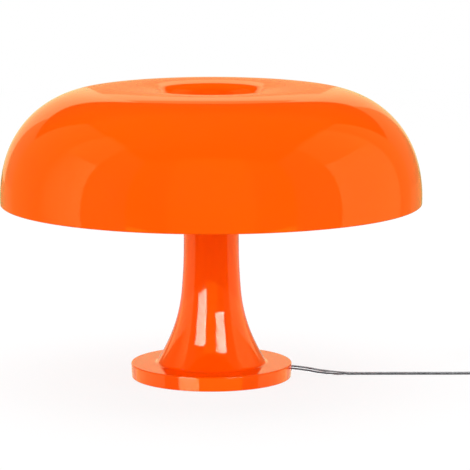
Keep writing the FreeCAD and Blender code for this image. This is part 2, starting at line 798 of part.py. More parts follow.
def lead_points():
    entry = SWITCH_Y - NOSE_LENGTH + ENTRY_DEPTH
    return [
        Vector(CORD_EXIT, 0.0, CORD_Z),
        Vector(CORD_EXIT + 10.4, 0.1, 6.1),
        Vector(CORD_EXIT + 22.4, 0.6, 3.8),
        Vector(CORD_EXIT + 36.4, 1.3, 2.0),
        Vector(CORD_EXIT + 54.4, 2.1, CORD_FLOOR),
        Vector(SWITCH_X - 80.0, 2.8, CORD_FLOOR),
        Vector(SWITCH_X - 45.0, 2.7, CORD_FLOOR),
        Vector(SWITCH_X - 20.5, entry - 38.0, CORD_FLOOR),
        Vector(SWITCH_X - 7.5, entry - 30.0, CORD_FLOOR),
        Vector(SWITCH_X, entry - 17.0, 1.5),
        Vector(SWITCH_X, entry, ENTRY_Z),
    ]


def tail_points():
    leave = SWITCH_Y + SWITCH_LENGTH + NOSE_LENGTH - ENTRY_DEPTH
    across = COIL_START_X - SWITCH_X
    return [
        Vector(SWITCH_X, leave, ENTRY_Z),
        Vector(SWITCH_X, leave + 14.0, 1.8),
        Vector(SWITCH_X + 0.11 * across, leave + 25.0, CORD_FLOOR),
        Vector(SWITCH_X + 0.35 * across, leave + 32.5, CORD_FLOOR),
        Vector(SWITCH_X + 0.66 * across, leave + 32.5, CORD_FLOOR),
        Vector(SWITCH_X + 0.90 * across, leave + 25.0, CORD_FLOOR),
        Vector(COIL_START_X + 0.6, leave + 11.0, CORD_FLOOR),
        Vector(COIL_START_X + 1.4, leave - 17.0, CORD_FLOOR),
        Vector(COIL_START_X + 1.6, leave - 62.0, CORD_FLOOR),
        Vector(COIL_START_X + 0.6, COIL_Y + 40.0, 1.2),
        Vector(COIL_START_X, COIL_Y, COIL_LOW),
    ]


def end_points():
    return [
        Vector(COIL_END_X, COIL_Y, COIL_HIGH),
        Vector(COIL_END_X, COIL_Y - PLUG_GAP / 3, COIL_HIGH - END_SAG),
        Vector(COIL_END_X, COIL_Y - PLUG_GAP * 2 / 3, PLUG_Z - END_SAG),
        Vector(COIL_END_X, COIL_Y - PLUG_GAP, PLUG_Z),
    ]


def make_free_cord(name, points):
    path, length, least = route(points)
    ahead = points[1] - points[0]
    solid = cord_along(path, points[0], ahead, UP.cross(ahead))
    share = solid.Volume / (cord_area() * length)
    print("%s: length %.0f, least radius %.1f, volume share %.3f" % (name, length, least, share))
    return solid, length


def coil_path():
    """Half turns: inwards on the lower layer, up a layer, outwards on the upper one."""
    inward = [COIL_RADIUS - step * COIL_PITCH / 2 for step in range(COIL_IN)]
    climb = COIL_RADIUS - COIL_IN * COIL_PITCH / 2
    outward = [climb + (step + 1) * COIL_PITCH / 2 for step in range(COIL_OUT)]
    radii = inward + [climb] + outward
    radii[0] += COIL_EASE / 2
    radii[-1] += COIL_EASE / 2
    edges = []
    x = COIL_START_X
    z = COIL_LOW
    direction = -1.0
    for count, radius in enumerate(radii):
        next_z = COIL_LOW if count < COIL_IN else COIL_HIGH
        start = Vector(x, COIL_Y, z)
        end = Vector(x + direction * 2 * radius, COIL_Y, next_z)
        reach = (end - start).Length / 2
        middle = (start + end) * 0.5 + Vector(0, direction * reach, 0)
        edges.append(Part.Arc(start, middle, end).toShape())
        x = end.x
        z = next_z
        direction = -direction
    return Part.Wire(edges)


def coil_self_gap(path):
    """Least gap between two turns, from points along the coil."""
    spots = []
    for edge in path.OrderedEdges:
        spots += edge.discretize(60)[:-1]
    least = COIL_RADIUS
    for first, a in enumerate(spots):
        for b in spots[first + 60:]:
            beside_gap = math.hypot(a.x - b.x, a.y - b.y) - CORD_THICK
            over_gap = abs(a.z - b.z) - CORD_WIDTH
            least = min(least, max(beside_gap, over_gap))
    return least


def make_coil():
    path = coil_path()
    start = Vector(COIL_START_X, COIL_Y, COIL_LOW)
    solid = cord_along(path, start, Vector(0, -1, 0), UP)
    share = solid.Volume / (cord_area() * path.Length)
    print("coil: length %.0f, volume share %.3f" % (path.Length, share))
    print("coil: least gap to itself %.2f" % coil_self_gap(path))
    return solid, path.Length


def make_tie():
    """Band round all the turns on the near side of the coil."""
    x = COIL_X - COIL_RADIUS
    far = COIL_RADIUS + COIL_EASE / 2 + CORD_THICK / 2 + TIE_CLEARANCE
    near = COIL_RADIUS - COIL_IN * COIL_PITCH / 2 - CORD_THICK / 2 - TIE_CLEARANCE
    top = COIL_HIGH + CORD_WIDTH / 2 + TIE_CLEARANCE
    half = TIE_WIDTH / 2
    band = box(
        x - half, x + half, COIL_Y - far - TIE_THICK, COIL_Y - near + TIE_THICK, 0, top + TIE_THICK
    )
    return band.cut(box(x - half, x + half, COIL_Y - far, COIL_Y - near, TIE_THICK, top))


# In-line switch, drawn about its own middle and then placed

def at_switch(shape):
    shape = shape.copy()
    shape.translate(Vector(SWITCH_X, SWITCH_Y + SWITCH_LENGTH / 2, 0))
    return shape


def switch_blank(low, high):
    half = SWITCH_WIDTH / 2
    reach = SWITCH_LENGTH / 2
    blank = box(-half, half, -reach, reach, low, high)
    corners = [edge for edge in blank.Edges if abs(edge.tangentAt(edge.FirstParameter).z) > 0.9]
    return blank.makeFillet(SWITCH_ROUND, corners)


def edges_at(shape, height):
    """Edges that lie at one height."""
    found = []
    for edge in shape.Edges:
        limits = edge.BoundBox
        if abs(limits.ZMin - height) < 0.01 and abs(limits.ZMax - height) < 0.01:
            found.append(edge)
    return found


def switch_cavity(low, high):
    half = SWITCH_WIDTH / 2 - SWITCH_WALL
    reach = SWITCH_LENGTH / 2 - SWITCH_END
    return box(-half, half, -reach, reach, low, high)


def switch_screw_places():
    x = SWITCH_WIDTH / 2 - SWITCH_ROUND
    y = SWITCH_LENGTH / 2 - SWITCH_END / 2
    return ((x, y), (-x, -y))


def switch_nose(way):
    """Tapered strain relief that the cord comes out of."""
    root = way * (SWITCH_LENGTH / 2 - OVERRUN)
    length = NOSE_LENGTH + OVERRUN
    return Part.makeCone(NOSE_START, NOSE_END, length, Vector(0, root, ENTRY_Z), Vector(0, way, 0))


def make_switch_lower():
    shell = switch_blank(0, SWITCH_PART)
    shell = shell.makeFillet(SWITCH_EDGE / 2, edges_at(shell, 0))
    for way in (-1, 1):
        shell = shell.fuse(switch_nose(way))
    shell = shell.cut(switch_cavity(SWITCH_WALL, SWITCH_PART))
    wide = CORD_WIDTH / 2 + ENTRY_CLEARANCE
    tall = CORD_THICK / 2 + ENTRY_CLEARANCE
    reach = SWITCH_LENGTH
    shell = shell.cut(box(-wide, wide, -reach, reach, ENTRY_Z - tall, ENTRY_Z + tall))
    for x, y in switch_screw_places():
        shell = shell.cut(upright(SCREW_RADIUS + SCREW_CLEARANCE, x, y, 0, SWITCH_PART))
        shell = shell.cut(upright(SMALL_HEAD + HEAD_CLEARANCE, x, y, 0, SWITCH_WALL))
    return at_switch(shell)


def make_switch_upper():
    shell = switch_blank(SWITCH_PART, SWITCH_HEIGHT)
    shell = shell.makeFillet(SWITCH_EDGE, edges_at(shell, SWITCH_HEIGHT))
    shell = shell.cut(switch_cavity(SWITCH_PART, SWITCH_HEIGHT - SWITCH_WALL))
    wide = ROCKER_HALF + ROCKER_GAP
    long = ROCKER_RADIUS + ROCKER_GAP
    lug = PIVOT_RADIUS * 2.5
    wall = SWITCH_WIDTH / 2 - SWITCH_WALL / 2
    roof = SWITCH_HEIGHT - SWITCH_WALL / 2
    for x0, x1 in ((-wall, -wide), (wide, wall)):
        shell = shell.fuse(box(x0, x1, -lug, lug, SWITCH_PART + LUG_LIFT, roof))
    shell = shell.cut(box(-wide, wide, -long, long, SWITCH_PART, SWITCH_HEIGHT + OVERRUN))
    bore = PIVOT_RADIUS + PIVOT_CLEARANCE
    reach = SWITCH_WIDTH / 2 - SWITCH_WALL
    shell = shell.cut(lying(bore, -reach, reach, 0, PIVOT_Z))
    for x, y in switch_screw_places():
        shell = shell.cut(upright(SCREW_RADIUS + SCREW_CLEARANCE, x, y, SWITCH_PART, PIVOT_Z))
    return at_switch(shell.removeSplitter())


def make_switch_pivot():
    reach = SWITCH_WIDTH / 2 - SWITCH_WALL - PIVOT_END
    return at_switch(lying(PIVOT_RADIUS, -reach, reach, 0, PIVOT_Z))


def make_switch_rocker():
    """Rocker with hollowed top; it rests tilted to one end."""
    high = math.radians(33)
    low = math.radians(-15)
    ends = []
    for angle in (high, (high + low) / 2, low):
        ends.append(Vector(0, ROCKER_RADIUS * math.cos(angle), ROCKER_RADIUS * math.sin(angle)))
    other = [Vector(0, -spot.y, spot.z) for spot in ends]
    dip = Vector(0, 0, ROCKER_RADIUS * 0.42)
    keel = Vector(0, 0, -ROCKER_RADIUS * 0.36)
    edges = [
        Part.Arc(other[0], dip, ends[0]).toShape(), Part.Arc(*ends).toShape(),
        line(ends[2], keel), line(keel, other[2]), Part.Arc(*reversed(other)).toShape(),
    ]
    face = Part.Face(Part.Wire(Part.__sortEdges__(edges)))
    face.translate(Vector(-ROCKER_HALF, 0, 0))
    rocker = face.extrude(Vector(2 * ROCKER_HALF, 0, 0))
    rocker = rocker.cut(lying(PIVOT_RADIUS + PIVOT_CLEARANCE, -ROCKER_HALF, ROCKER_HALF))
    rocker.rotate(Vector(0, 0, 0), Vector(1, 0, 0), -ROCKER_TILT)
    rocker.translate(Vector(0, 0, PIVOT_Z))
    return at_switch(rocker)


def make_switch_contacts():
    contacts = []
    for sign in (-1, 1):
        middle = sign * CONTACT_MIDDLE
        contacts.append(box(
            -CONTACT_WIDE / 2, CONTACT_WIDE / 2, middle - CONTACT_REACH, middle + CONTACT_REACH,
            SWITCH_WALL, SWITCH_WALL + CONTACT_STRIP,
        ))
    return at_switch(Part.makeCompound(contacts))


def make_switch_screws():
    screws = []
    for x, y in switch_screw_places():
        head = upright(SMALL_HEAD, x, y, SWITCH_WALL - CLAMP_HEAD, SWITCH_WALL)
        shank = upright(SCREW_RADIUS, x, y, SWITCH_WALL, PIVOT_Z - SCREW_TIP)
        screws.append(head.fuse(shank).removeSplitter())
    return at_switch(Part.makeCompound(screws))


# Plug, drawn with its face at the origin and pins towards -Y, then placed

def at_plug(shape):
    shape = shape.copy()
    face_y = COIL_Y - PLUG_GAP - NECK_LENGTH - PLUG_LENGTH
    shape.translate(Vector(COIL_END_X, face_y, PLUG_Z))
    return shape


def pin_along(radius, start, end, x):
    return Part.makeCylinder(radius, end - start, Vector(x, start, 0), Vector(0, 1, 0))


def make_plug_body():
    half = PLUG_THICK / 2
    spots = [
        (-PLUG_HALF, 0), (PLUG_HALF, 0), (PLUG_HALF, PLUG_FLANK),
        (PLUG_REAR, PLUG_LENGTH), (-PLUG_REAR, PLUG_LENGTH), (-PLUG_HALF, PLUG_FLANK),
    ]
    outline = Part.makePolygon([Vector(x, y, -half) for x, y in spots + spots[:1]])
    body = Part.Face(outline).extrude(Vector(0, 0, PLUG_THICK))
    body = body.makeFillet(PLUG_ROUND, body.Edges)
    neck = Part.makeCone(
        NECK_START, NECK_END, NECK_LENGTH + OVERRUN,
        Vector(0, PLUG_LENGTH - OVERRUN, 0), Vector(0, 1, 0),
    )
    body = body.fuse(neck)
    for x in (-PIN_SPACING / 2, PIN_SPACING / 2):
        body = body.cut(pin_along(PIN_CORE + SCREW_CLEARANCE, -OVERRUN, PIN_ROOT + PIN_END_ROOM, x))
    return at_plug(body.removeSplitter())


def make_plug_pins():
    pins = []
    for x in (-PIN_SPACING / 2, PIN_SPACING / 2):
        core = pin_along(PIN_CORE, -PIN_SLEEVE, PIN_ROOT, x)
        tip = pin_along(PIN_RADIUS, -PIN_LENGTH, -PIN_SLEEVE, x)
        tip = tip.makeChamfer(PIN_CHAMFER, edges_across(tip, -PIN_LENGTH))
        pins.append(core.fuse(tip).removeSplitter())
    return at_plug(Part.makeCompound(pins))


def edges_across(shape, y):
    """Edges that lie at one place along Y."""
    found = []
    for edge in shape.Edges:
        limits = edge.BoundBox
        if abs(limits.YMin - y) < 0.01 and abs(limits.YMax - y) < 0.01:
            found.append(edge)
    return found


def make_plug_sleeves():
    sleeves = []
    for x in (-PIN_SPACING / 2, PIN_SPACING / 2):
        tube = pin_along(SLEEVE_RADIUS, -PIN_SLEEVE, 0, x)
        sleeves.append(tube.cut(pin_along(PIN_CORE, -PIN_SLEEVE, 0, x)))
    return at_plug(Part.makeCompound(sleeves))


# Build every piece

def make_all():
    parts = {
        "shade": make_shade(),
        "column": make_column(),
        "felt_pad": make_felt(),
        "bottom_cover": make_cover(),
        "cover_screws": make_cover_screws(),
        "ballast": make_ballast(),
        "tie_rod": ring(ROD_BORE, ROD_RADIUS, ROD_BOTTOM, ROD_TOP),
        "lower_nut": make_nut(LOWER_NUT, NUT_HEIGHT),
        "lower_washer": make_washer(POCKET_TOP - WASHER_THICK),
        "upper_nut": make_nut(UPPER_NUT, NUT_HEIGHT),
        "upper_washer": make_washer(COLUMN_TOP + HUB_FLOOR),
        "lampholder_hub": make_hub(),
        "hub_cover": make_hub_cover(),
        "terminal_block": make_terminal_block(),
        "terminal_inserts": make_terminal_inserts(),
        "terminal_screws": make_terminal_screws(),
        "cord_bush": make_bush(),
        "cord_clamp": make_clamp(),
        "clamp_screws": make_clamp_screws(),
        "cord_inner": make_inner_cord(),
        "coil_tie": make_tie(),
        "switch_lower": make_switch_lower(),
        "switch_upper": make_switch_upper(),
        "switch_pivot": make_switch_pivot(),
        "switch_rocker": make_switch_rocker(),
        "switch_contacts": make_switch_contacts(),
        "switch_screws": make_switch_screws(),
        "plug_body": make_plug_body(),
        "plug_pins": make_plug_pins(),
        "plug_sleeves": make_plug_sleeves(),
    }
    on_each_side = {
        "holder_nipple": make_nipple(),
        "holder_locknut": make_locknut(),
        "holder_back": make_holder_back(),
        "holder_sleeve": make_holder_sleeve(),
        "holder_core": make_holder_core(),
        "holder_shell": make_holder_shell(),
        "holder_contact": make_holder_contact(),
        "bulb_globe": make_bulb_globe(),
        "bulb_collar": make_bulb_collar(),
        "bulb_cap": make_bulb_cap(),
        "bulb_tip": make_bulb_tip(),
    }
    for side in LEFT_RIGHT:
        for name, shape in on_each_side.items():
            parts["%s_%s" % (name, side)] = at_side(shape, side)
        for wire, pole in (("live", 1), ("neutral", -1)):
            parts["lead_%s_%s" % (wire, side)] = make_lead(side, pole)
    lengths = SWITCH_LENGTH + 2 * (NOSE_LENGTH - ENTRY_DEPTH)
    stretches = {"cord_lead": lead_points(), "cord_tail": tail_points(), "cord_end": end_points()}
    for name, points in stretches.items():
        parts[name], length = make_free_cord(name, points)
        lengths += length
    parts["cord_coil"], length = make_coil()
    lengths += length
    print("cord: %.0f from the base to the plug" % lengths)
    return parts


os.makedirs("parts", exist_ok=True)
for node, solid in make_all().items():
    solid.exportStep("parts/%s.step" % node)
    print("%s: %d solids, %.0f mm3, valid %s" % (node, len(solid.Solids), solid.Volume, solid.isValid()))
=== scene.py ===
import json
from math import acos, asin, copysign, cos, pi, radians, sin, sqrt, tan

import bpy
from mathutils import Matrix, Vector

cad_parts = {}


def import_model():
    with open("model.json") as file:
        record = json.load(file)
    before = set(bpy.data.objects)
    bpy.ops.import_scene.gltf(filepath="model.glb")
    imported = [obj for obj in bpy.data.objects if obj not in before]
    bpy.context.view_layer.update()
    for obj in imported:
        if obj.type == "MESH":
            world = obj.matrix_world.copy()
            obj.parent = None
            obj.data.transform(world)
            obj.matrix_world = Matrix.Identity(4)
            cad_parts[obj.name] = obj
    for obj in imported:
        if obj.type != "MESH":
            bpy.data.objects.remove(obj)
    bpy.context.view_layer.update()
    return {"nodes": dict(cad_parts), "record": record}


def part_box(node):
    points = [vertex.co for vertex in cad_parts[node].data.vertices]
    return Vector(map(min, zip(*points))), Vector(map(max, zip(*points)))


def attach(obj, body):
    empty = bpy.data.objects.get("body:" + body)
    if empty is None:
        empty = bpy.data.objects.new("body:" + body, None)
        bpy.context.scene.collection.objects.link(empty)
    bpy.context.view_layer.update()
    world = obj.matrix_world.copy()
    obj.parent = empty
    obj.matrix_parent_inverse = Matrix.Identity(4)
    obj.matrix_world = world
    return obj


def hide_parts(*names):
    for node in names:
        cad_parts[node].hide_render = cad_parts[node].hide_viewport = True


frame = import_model()

# Mushroom table lamp, metres, +Z up, the cord towards +X, the camera on the -Y side

# Shade and column; their outer sizes come from the frame
SHADE_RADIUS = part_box("shade")[1].x
RIM_ROUND = 0.0008
RIM_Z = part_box("shade")[0].z + RIM_ROUND
SHADE_WALL = 0.0025
RIM_LEAN = 3.0
WALL_ARC = 0.099
WALL_SWEEP = 21.0
SHOULDER_ARC = 0.073
SHOULDER_SWEEP = 63.5
CROWN_ARC = 0.2
DISH_SLOPE = 6.0
WELL_RADIUS = 0.033
WELL_LIP = 0.011
WELL_DRAFT = 6.0
WELL_CORNER = 0.004
HUB_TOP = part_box("lampholder_hub")[1].z
HUB_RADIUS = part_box("lampholder_hub")[1].y
SEAT_CLEARANCE = 0.0003
SKIRT_DEPTH = 0.007
SKIRT_WALL = 0.0025
SKIRT_EDGE = 0.0003

BASE_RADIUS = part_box("column")[1].x
COLUMN_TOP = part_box("column")[1].z
RIM_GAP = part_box("column")[0].z
BASE_TOP = 0.0115
BASE_DRAFT = 3.0
BASE_EDGE = 0.001
BASE_FOOT_EDGE = 0.0006
COLUMN_WALL = 0.0025
FOOT_FILLET = 0.003
FOOT_ANGLE = 31.4
FOOT_ARC = 0.15
FLARE_ANGLE = 24.5
FLARE_ARC = 0.116
STEM_TAPER = 5.3
STEM_ARC = 0.406
STEM_RADIUS = 0.021
STEM_EDGE = 0.0006

# Lampholders and bulbs, measured out from the lamp's axis
SOCKET_RISE = 0.016
SOCKET_Z = COLUMN_TOP + SOCKET_RISE
HOLDER_RADIUS = 0.013
HOLDER_INSIDE = 0.0106
HOLDER_BORE = 0.0052
HOLDER_NOSE = 0.009
HOLDER_NOSE_INSIDE = 0.0066
BACK_START = 0.023
BACK_WALL = 0.003
HOLDER_CONE = 0.01
BACK_END = 0.035
HOLDER_END = 0.062
HOLDER_LIP = 0.0086
HOLDER_LIP_THICK = 0.002
HOLDER_EDGE = 0.0004
HOLDER_SEAM = 0.0006
HOLDER_ROUND = 0.0005
MOUTH_ROUND = 0.001
MOUTH_EDGE = 0.0003
SLEEVE_START = BACK_END + 0.002
SLEEVE_END = HOLDER_END - 0.003
HOLDER_RIBS = 40
RIB_STEPS = 8
RIB_DEPTH = 0.00035
RIBS_START = BACK_END + 0.003
RIBS_END = HOLDER_END - 0.004
CAP_START = 0.042
CAP_END = 0.061
CAP_RADIUS = 0.0069
CAP_TAPER = 0.0014
CAP_TAPER_LENGTH = 0.0008
CAP_EDGE = 0.0004
CAP_EDGE_DEPTH = 0.0003
THREAD_PITCH = 0.0028
THREAD_DEPTH = 0.0007
THREAD_END = CAP_END - 0.002
COLLAR_NECK = 0.0075
COLLAR_END = 0.072
COLLAR_RADIUS = 0.0125
COLLAR_FLARE = 0.003
COLLAR_BEVEL = 0.0012
COLLAR_EDGE = 0.0004
COLLAR_ROUND = 0.0006
GLOBE_RADIUS = 0.0225
GLOBE_NECK = 0.012

# Clear flat twin cord; rolls are degrees from lying flat, and the groove's ease is in radians
CORD_THICK = 0.002
CORD_Z = 0.0069
CORE_OFFSET = 0.0009
CORE_RADIUS = 0.0005
CORE_STRANDS = 9
STRAND_LAY = 0.009
GROOVE_EASE = 0.2
CORD_FLOOR = CORD_THICK / 2
SWITCH_X = 0.228
ENTRY_Y = 0.042
LEAVE_Y = 0.124
ENTRY_Z = 0.0035
COIL_Y = -0.028
COIL_RADIUS = 0.0288
COIL_PITCH = 0.0026
COIL_EASE = 0.0008
COIL_START_X = 0.2848
COIL_END_X = 0.2822
COIL_LOW = 0.0026
COIL_HIGH = 0.007
COIL_IN = 9
COIL_OUT = 8
PLUG_Z = 0.0068
PLUG_GAP = 0.034
END_SAG = 0.0006
INNER_START = 0.024
INNER_HALFWAY = 0.036
CLAMP_END = 0.049
WALL_HALFWAY = 0.055
BUSH_HOLE = 0.003
DRILL_MORE = 0.002
EXIT_ROLL = 80.0
HELD_LENGTH = 0.016
HELD_ROLL = 74.0
FLAT_FROM = 0.05
FLAT_BEFORE_COIL = 0.06
ROLLED_BEFORE_COIL = 0.004
COIL_ROLL = 90.0

# In-line switch, tie and plug; the tie starts at a share of a half turn, and overlaps by steps
NOSE_LENGTH = 0.02
NOSE_THIN = 0.0028
NOSE_THICK = 0.0034
RELIEF_LIMIT = 0.00345
RELIEF_RIB = 0.0003
RELIEF_PITCH = 0.0024
RELIEF_INSIDE = NOSE_THIN - 0.0003
RELIEF_START = 0.0008
RELIEF_END = NOSE_LENGTH - 0.0015
RELIEF_SUNK = 0.00002
RELIEF_SET = 0.004
TIE_THICK = 0.0006
TIE_LIFT = TIE_THICK * 1.05
TIE_CORNER = 8.0
TIE_START = 0.72
TIE_OVERLAP = 30
TIE_RAMP = 8
TIE_SECTION = ((-1.0, 0.0), (-0.94, 0.8), (-0.8, 1.0), (0.8, 1.0), (0.94, 0.8), (1.0, 0.0))
PLUG_FACE = -0.11
PLUG_ROUND = ((0.0013, 0.0), (0.0005, 0.0002), (0.0001, 0.0007), (0.0, 0.0013))
PLUG_LENGTH = 0.028
PLUG_SIDE_START = 0.0016
PLUG_SIDE_END = PLUG_LENGTH - 0.0006
PLUG_HALF = 0.0174
PLUG_TALL = 0.0067
PLUG_FLANK = 0.007
PLUG_REAR = 0.0064
PLUG_TAPER = 1.25
PLUG_THINNING = 0.0011
PLUG_SQUARE = 6.0
PLUG_REAR_SQUARE = 3.0
CIRCLE = 2.0
NECK_LENGTH = 0.02
NECK_START = 0.0053
NECK_END = 0.0029
NECK_RIB = 0.0005
NECK_PITCH = 0.0033
NECK_FADE = 0.002
GRIP_START = 0.0095
GRIP_END = 0.0215
GRIP_PITCH = 0.003
GRIP_DEPTH = 0.0005
GRIP_WIDTH = 0.62

# How finely shapes are divided
ROUND_STEPS = 256
BULB_STEPS = 96
HOLDER_STEPS = 120
SMALL_STEPS = 48
ARC_STEP = 1.5
ARC_LEAST = 4
CORNER_STEPS = 4
RIM_STEPS = 8
GLOBE_STEPS = 60
THREAD_ROWS = 70
SLEEVE_ROWS = 60
COIL_STEPS = 12
CORD_RESOLUTION = 8
CORD_ORDER = 3
LOBE_STEPS = 12
CORE_STEPS = 10
RELIEF_ROWS = 90
TIE_STEPS = 120
PLUG_STEPS = 96
PLUG_ROWS = 110
NECK_ROWS = 100
BEVEL_SAMPLES = 4

# Limits: share of an edge that a soft corner takes, degrees of a sharp edge, radius of the axis
CORNER_SHARE = 0.45
SHARP_ANGLE = 32.0
ON_AXIS = 1e-7

# Where the photograph was taken from, its tilt and pan in radians
CAMERA_PLACE = (0.0, -2.2, 0.44897)
CAMERA_TILT = 0.1531
CAMERA_PAN = -0.0082
CAMERA_LENS = 224.05
CAMERA_SENSOR = 36.0

# Studio, measured from the lamp's axis and the floor; below 0 lies its mirror image in the table
TENT_HALF = 2.0
TENT_HIGH = 3.0
REAR_HIGH = 1.17
TABLE_EDGE = -0.35
TABLE_DEEP = -1.4
PANEL_HALF = 0.85
BOX_AWAY = 1.3
BOX_TOP = 1.0
BOX_OVER = 2.1
BOX_MIRROR = -0.6
PAPER_TOP = 0.4
PAPER_LOW = -1.2
BACKDROP_AWAY = 1.7
WINDOW_AWAY = 1.0
WINDOW_FIRST = 0.85
WINDOW_LAST = 1.15
GLINT_AWAY = 0.6
FILL_AIM = (0.0, 0.0, 0.12)
BOUNCE_PLACE = (0.0, -1.2, 0.17)
BOUNCE_AIM = (0.0, 0.0, 0.08)
BOUNCE_SIZE = (1.2, 0.3)
BOUNCE_LEVEL = 1.5
FLOOR_HALF = 2.1
FLOOR_COLOUR = (0.9, 0.9, 0.9, 1.0)
FLOOR_GLOW = 0.87
WORLD_DIM = 0.02

# Tints of the studio
WHITE = (1.0, 1.0, 1.0)
AMBER = (1.0, 0.9, 0.05)
DUSK = (1.0, 0.9, 0.2)
STRAW = (1.0, 0.95, 0.3)
YELLOW = (1.0, 0.95, 0.0)
SOFT = (1.0, 0.9, 0.27)
PAPER = (1.0, 0.9, 0.38)
CREAM = (1.0, 0.95, 0.55)
EMBER = (1.0, 0.2, 0.13)
PEACH = (1.0, 0.9, 0.7)
PALE = (1.0, 0.96, 0.79)
LEMON = (1.0, 1.0, 0.5)
RUST = (1.0, 0.25, 0.0)

# Most of a noise lies between these levels
NOISE_LOW = 0.3
NOISE_HIGH = 0.7


# Node materials

def add(tree, kind, inputs=None, **settings):
    """One shader node; an input is a value or the socket that feeds it."""
    made = tree.nodes.new(kind)
    for key, value in settings.items():
        setattr(made, key, value)
    for key, value in (inputs or {}).items():
        if isinstance(value, bpy.types.NodeSocket):
            tree.links.new(value, made.inputs[key])
        else:
            made.inputs[key].default_value = value
    return made


def blank_material(name):
    material = bpy.data.materials.new(name)
    material.use_nodes = True
    tree = material.node_tree
    tree.nodes.clear()
    return material, tree


def noise(tree, scale, detail=3.0, stretch=(1.0, 1.0, 1.0)):
    """Noise in the object's own space; the scale is in waves per metre."""
    place = add(tree, "ShaderNodeTexCoord").outputs["Object"]
    if stretch != (1.0, 1.0, 1.0):
        place = add(tree, "ShaderNodeMapping", {"Vector": place, "Scale": stretch}).outputs["Vector"]
    made = add(tree, "ShaderNodeTexNoise", {"Vector": place, "Scale": scale, "Detail": detail})
    return made.outputs["Fac"]


def ramp(tree, factor, low, high, start=NOISE_LOW, end=NOISE_HIGH):
    """Colour between two tints, as the factor goes from start to end."""
    made = add(tree, "ShaderNodeValToRGB", {"Fac": factor})
    first, last = made.color_ramp.elements
    first.position, first.color = start, (*low, 1.0)
    last.position, last.color = end, (*high, 1.0)
    return made.outputs["Color"]


def span(tree, factor, low, high):
    """Value between two levels, as a noise goes from low to high."""
    inputs = {"Value": factor, "From Min": NOISE_LOW, "From Max": NOISE_HIGH, "To Min": low, "To Max": high}
    return add(tree, "ShaderNodeMapRange", inputs).outputs["Result"]


def rough_skin(tree, factor, strength, depth, edge=None):
    """Bumped normal; edge rounds sharp corners by that radius."""
    inputs = {"Height": factor, "Strength": strength, "Distance": depth}
    if edge:
        bevel = add(tree, "ShaderNodeBevel", {"Radius": edge}, samples=BEVEL_SAMPLES)
        inputs["Normal"] = bevel.outputs["Normal"]
    return add(tree, "ShaderNodeBump", inputs).outputs["Normal"]


def finished(material, inputs):
    """The material, with a principled shader on its surface."""
    tree = material.node_tree
    shader = add(tree, "ShaderNodeBsdfPrincipled", inputs)
    add(tree, "ShaderNodeOutputMaterial", {"Surface": shader.outputs["BSDF"]})
    return material


def moulded(name, low, high, rough, grain, bump, edge=None):
    """Moulded plastic: faint tint drift, uneven gloss and a fine surface grain."""
    material, tree = blank_material(name)
    return finished(material, {
        "Base Color": ramp(tree, noise(tree, 14.0), low, high),
        "Roughness": span(tree, noise(tree, 90.0), *rough),
        "Normal": rough_skin(tree, noise(tree, grain), bump, 0.0002, edge),
    })


def metal(name, low, high, rough, stretch, edge=0.0002):
    """Plated or turned metal with fine lines one way."""
    material, tree = blank_material(name)
    lines = noise(tree, 900.0, 4.0, stretch)
    return finished(material, {
        "Base Color": ramp(tree, noise(tree, 120.0), low, high),
        "Metallic": 1.0,
        "Roughness": span(tree, lines, *rough),
        "Normal": rough_skin(tree, lines, 0.08, 0.0001, edge),
    })


def orange_plastic():
    """Polished plastic of the shade and the column."""
    material, tree = blank_material("orange_gloss")
    peel = noise(tree, 60.0, 1.0)
    return finished(material, {
        "Base Color": ramp(tree, noise(tree, 9.0, 2.0), (0.97, 0.09, 0.0002), (1.0, 0.098, 0.0005)),
        "Roughness": span(tree, noise(tree, 40.0), 0.02, 0.045),
        "IOR": 1.45,
        "Specular IOR Level": 0.4,
        "Normal": rough_skin(tree, peel, 0.03, 0.0002),
    })


def cast_iron():
    material, tree = blank_material("cast_iron")
    pits = noise(tree, 700.0, 6.0)
    return finished(material, {
        "Base Color": ramp(tree, noise(tree, 160.0, 5.0), (0.035, 0.034, 0.034), (0.085, 0.08, 0.078)),
        "Metallic": 0.6,
        "Roughness": span(tree, pits, 0.5, 0.8),
        "Normal": rough_skin(tree, pits, 0.5, 0.0006, 0.0004),
    })


def felt_cloth():
    material, tree = blank_material("felt")
    fibres = noise(tree, 2600.0, 6.0, (1.0, 0.35, 1.0))
    return finished(material, {
        "Base Color": ramp(tree, fibres, (0.006, 0.006, 0.007), (0.03, 0.03, 0.032)),
        "Roughness": 0.95,
        "Sheen Weight": 0.4,
        "Sheen Roughness": 0.6,
        "Normal": rough_skin(tree, fibres, 0.8, 0.0005),
    })


def opal_glass():
    material, tree = blank_material("opal_glass")
    return finished(material, {
        "Base Color": ramp(tree, noise(tree, 30.0, 2.0), (0.86, 0.855, 0.83), (0.9, 0.895, 0.88)),
        "Roughness": span(tree, noise(tree, 60.0), 0.12, 0.2),
        "Subsurface Weight": 0.25,
        "Subsurface Radius": (0.004, 0.004, 0.0035),
        "Subsurface Scale": 1.0,
        "Normal": rough_skin(tree, noise(tree, 70.0), 0.03, 0.0002),
    })


def clear_jacket():
    """Clear soft plastic of the cord."""
    material, tree = blank_material("clear_jacket")
    return finished(material, {
        "Base Color": ramp(tree, noise(tree, 45.0), (0.66, 0.67, 0.68), (0.74, 0.75, 0.76)),
        "Roughness": span(tree, noise(tree, 300.0), 0.03, 0.08),
        "IOR": 1.48,
        "Transmission Weight": 1.0,
        "Normal": rough_skin(tree, noise(tree, 250.0), 0.04, 0.0002),
    })


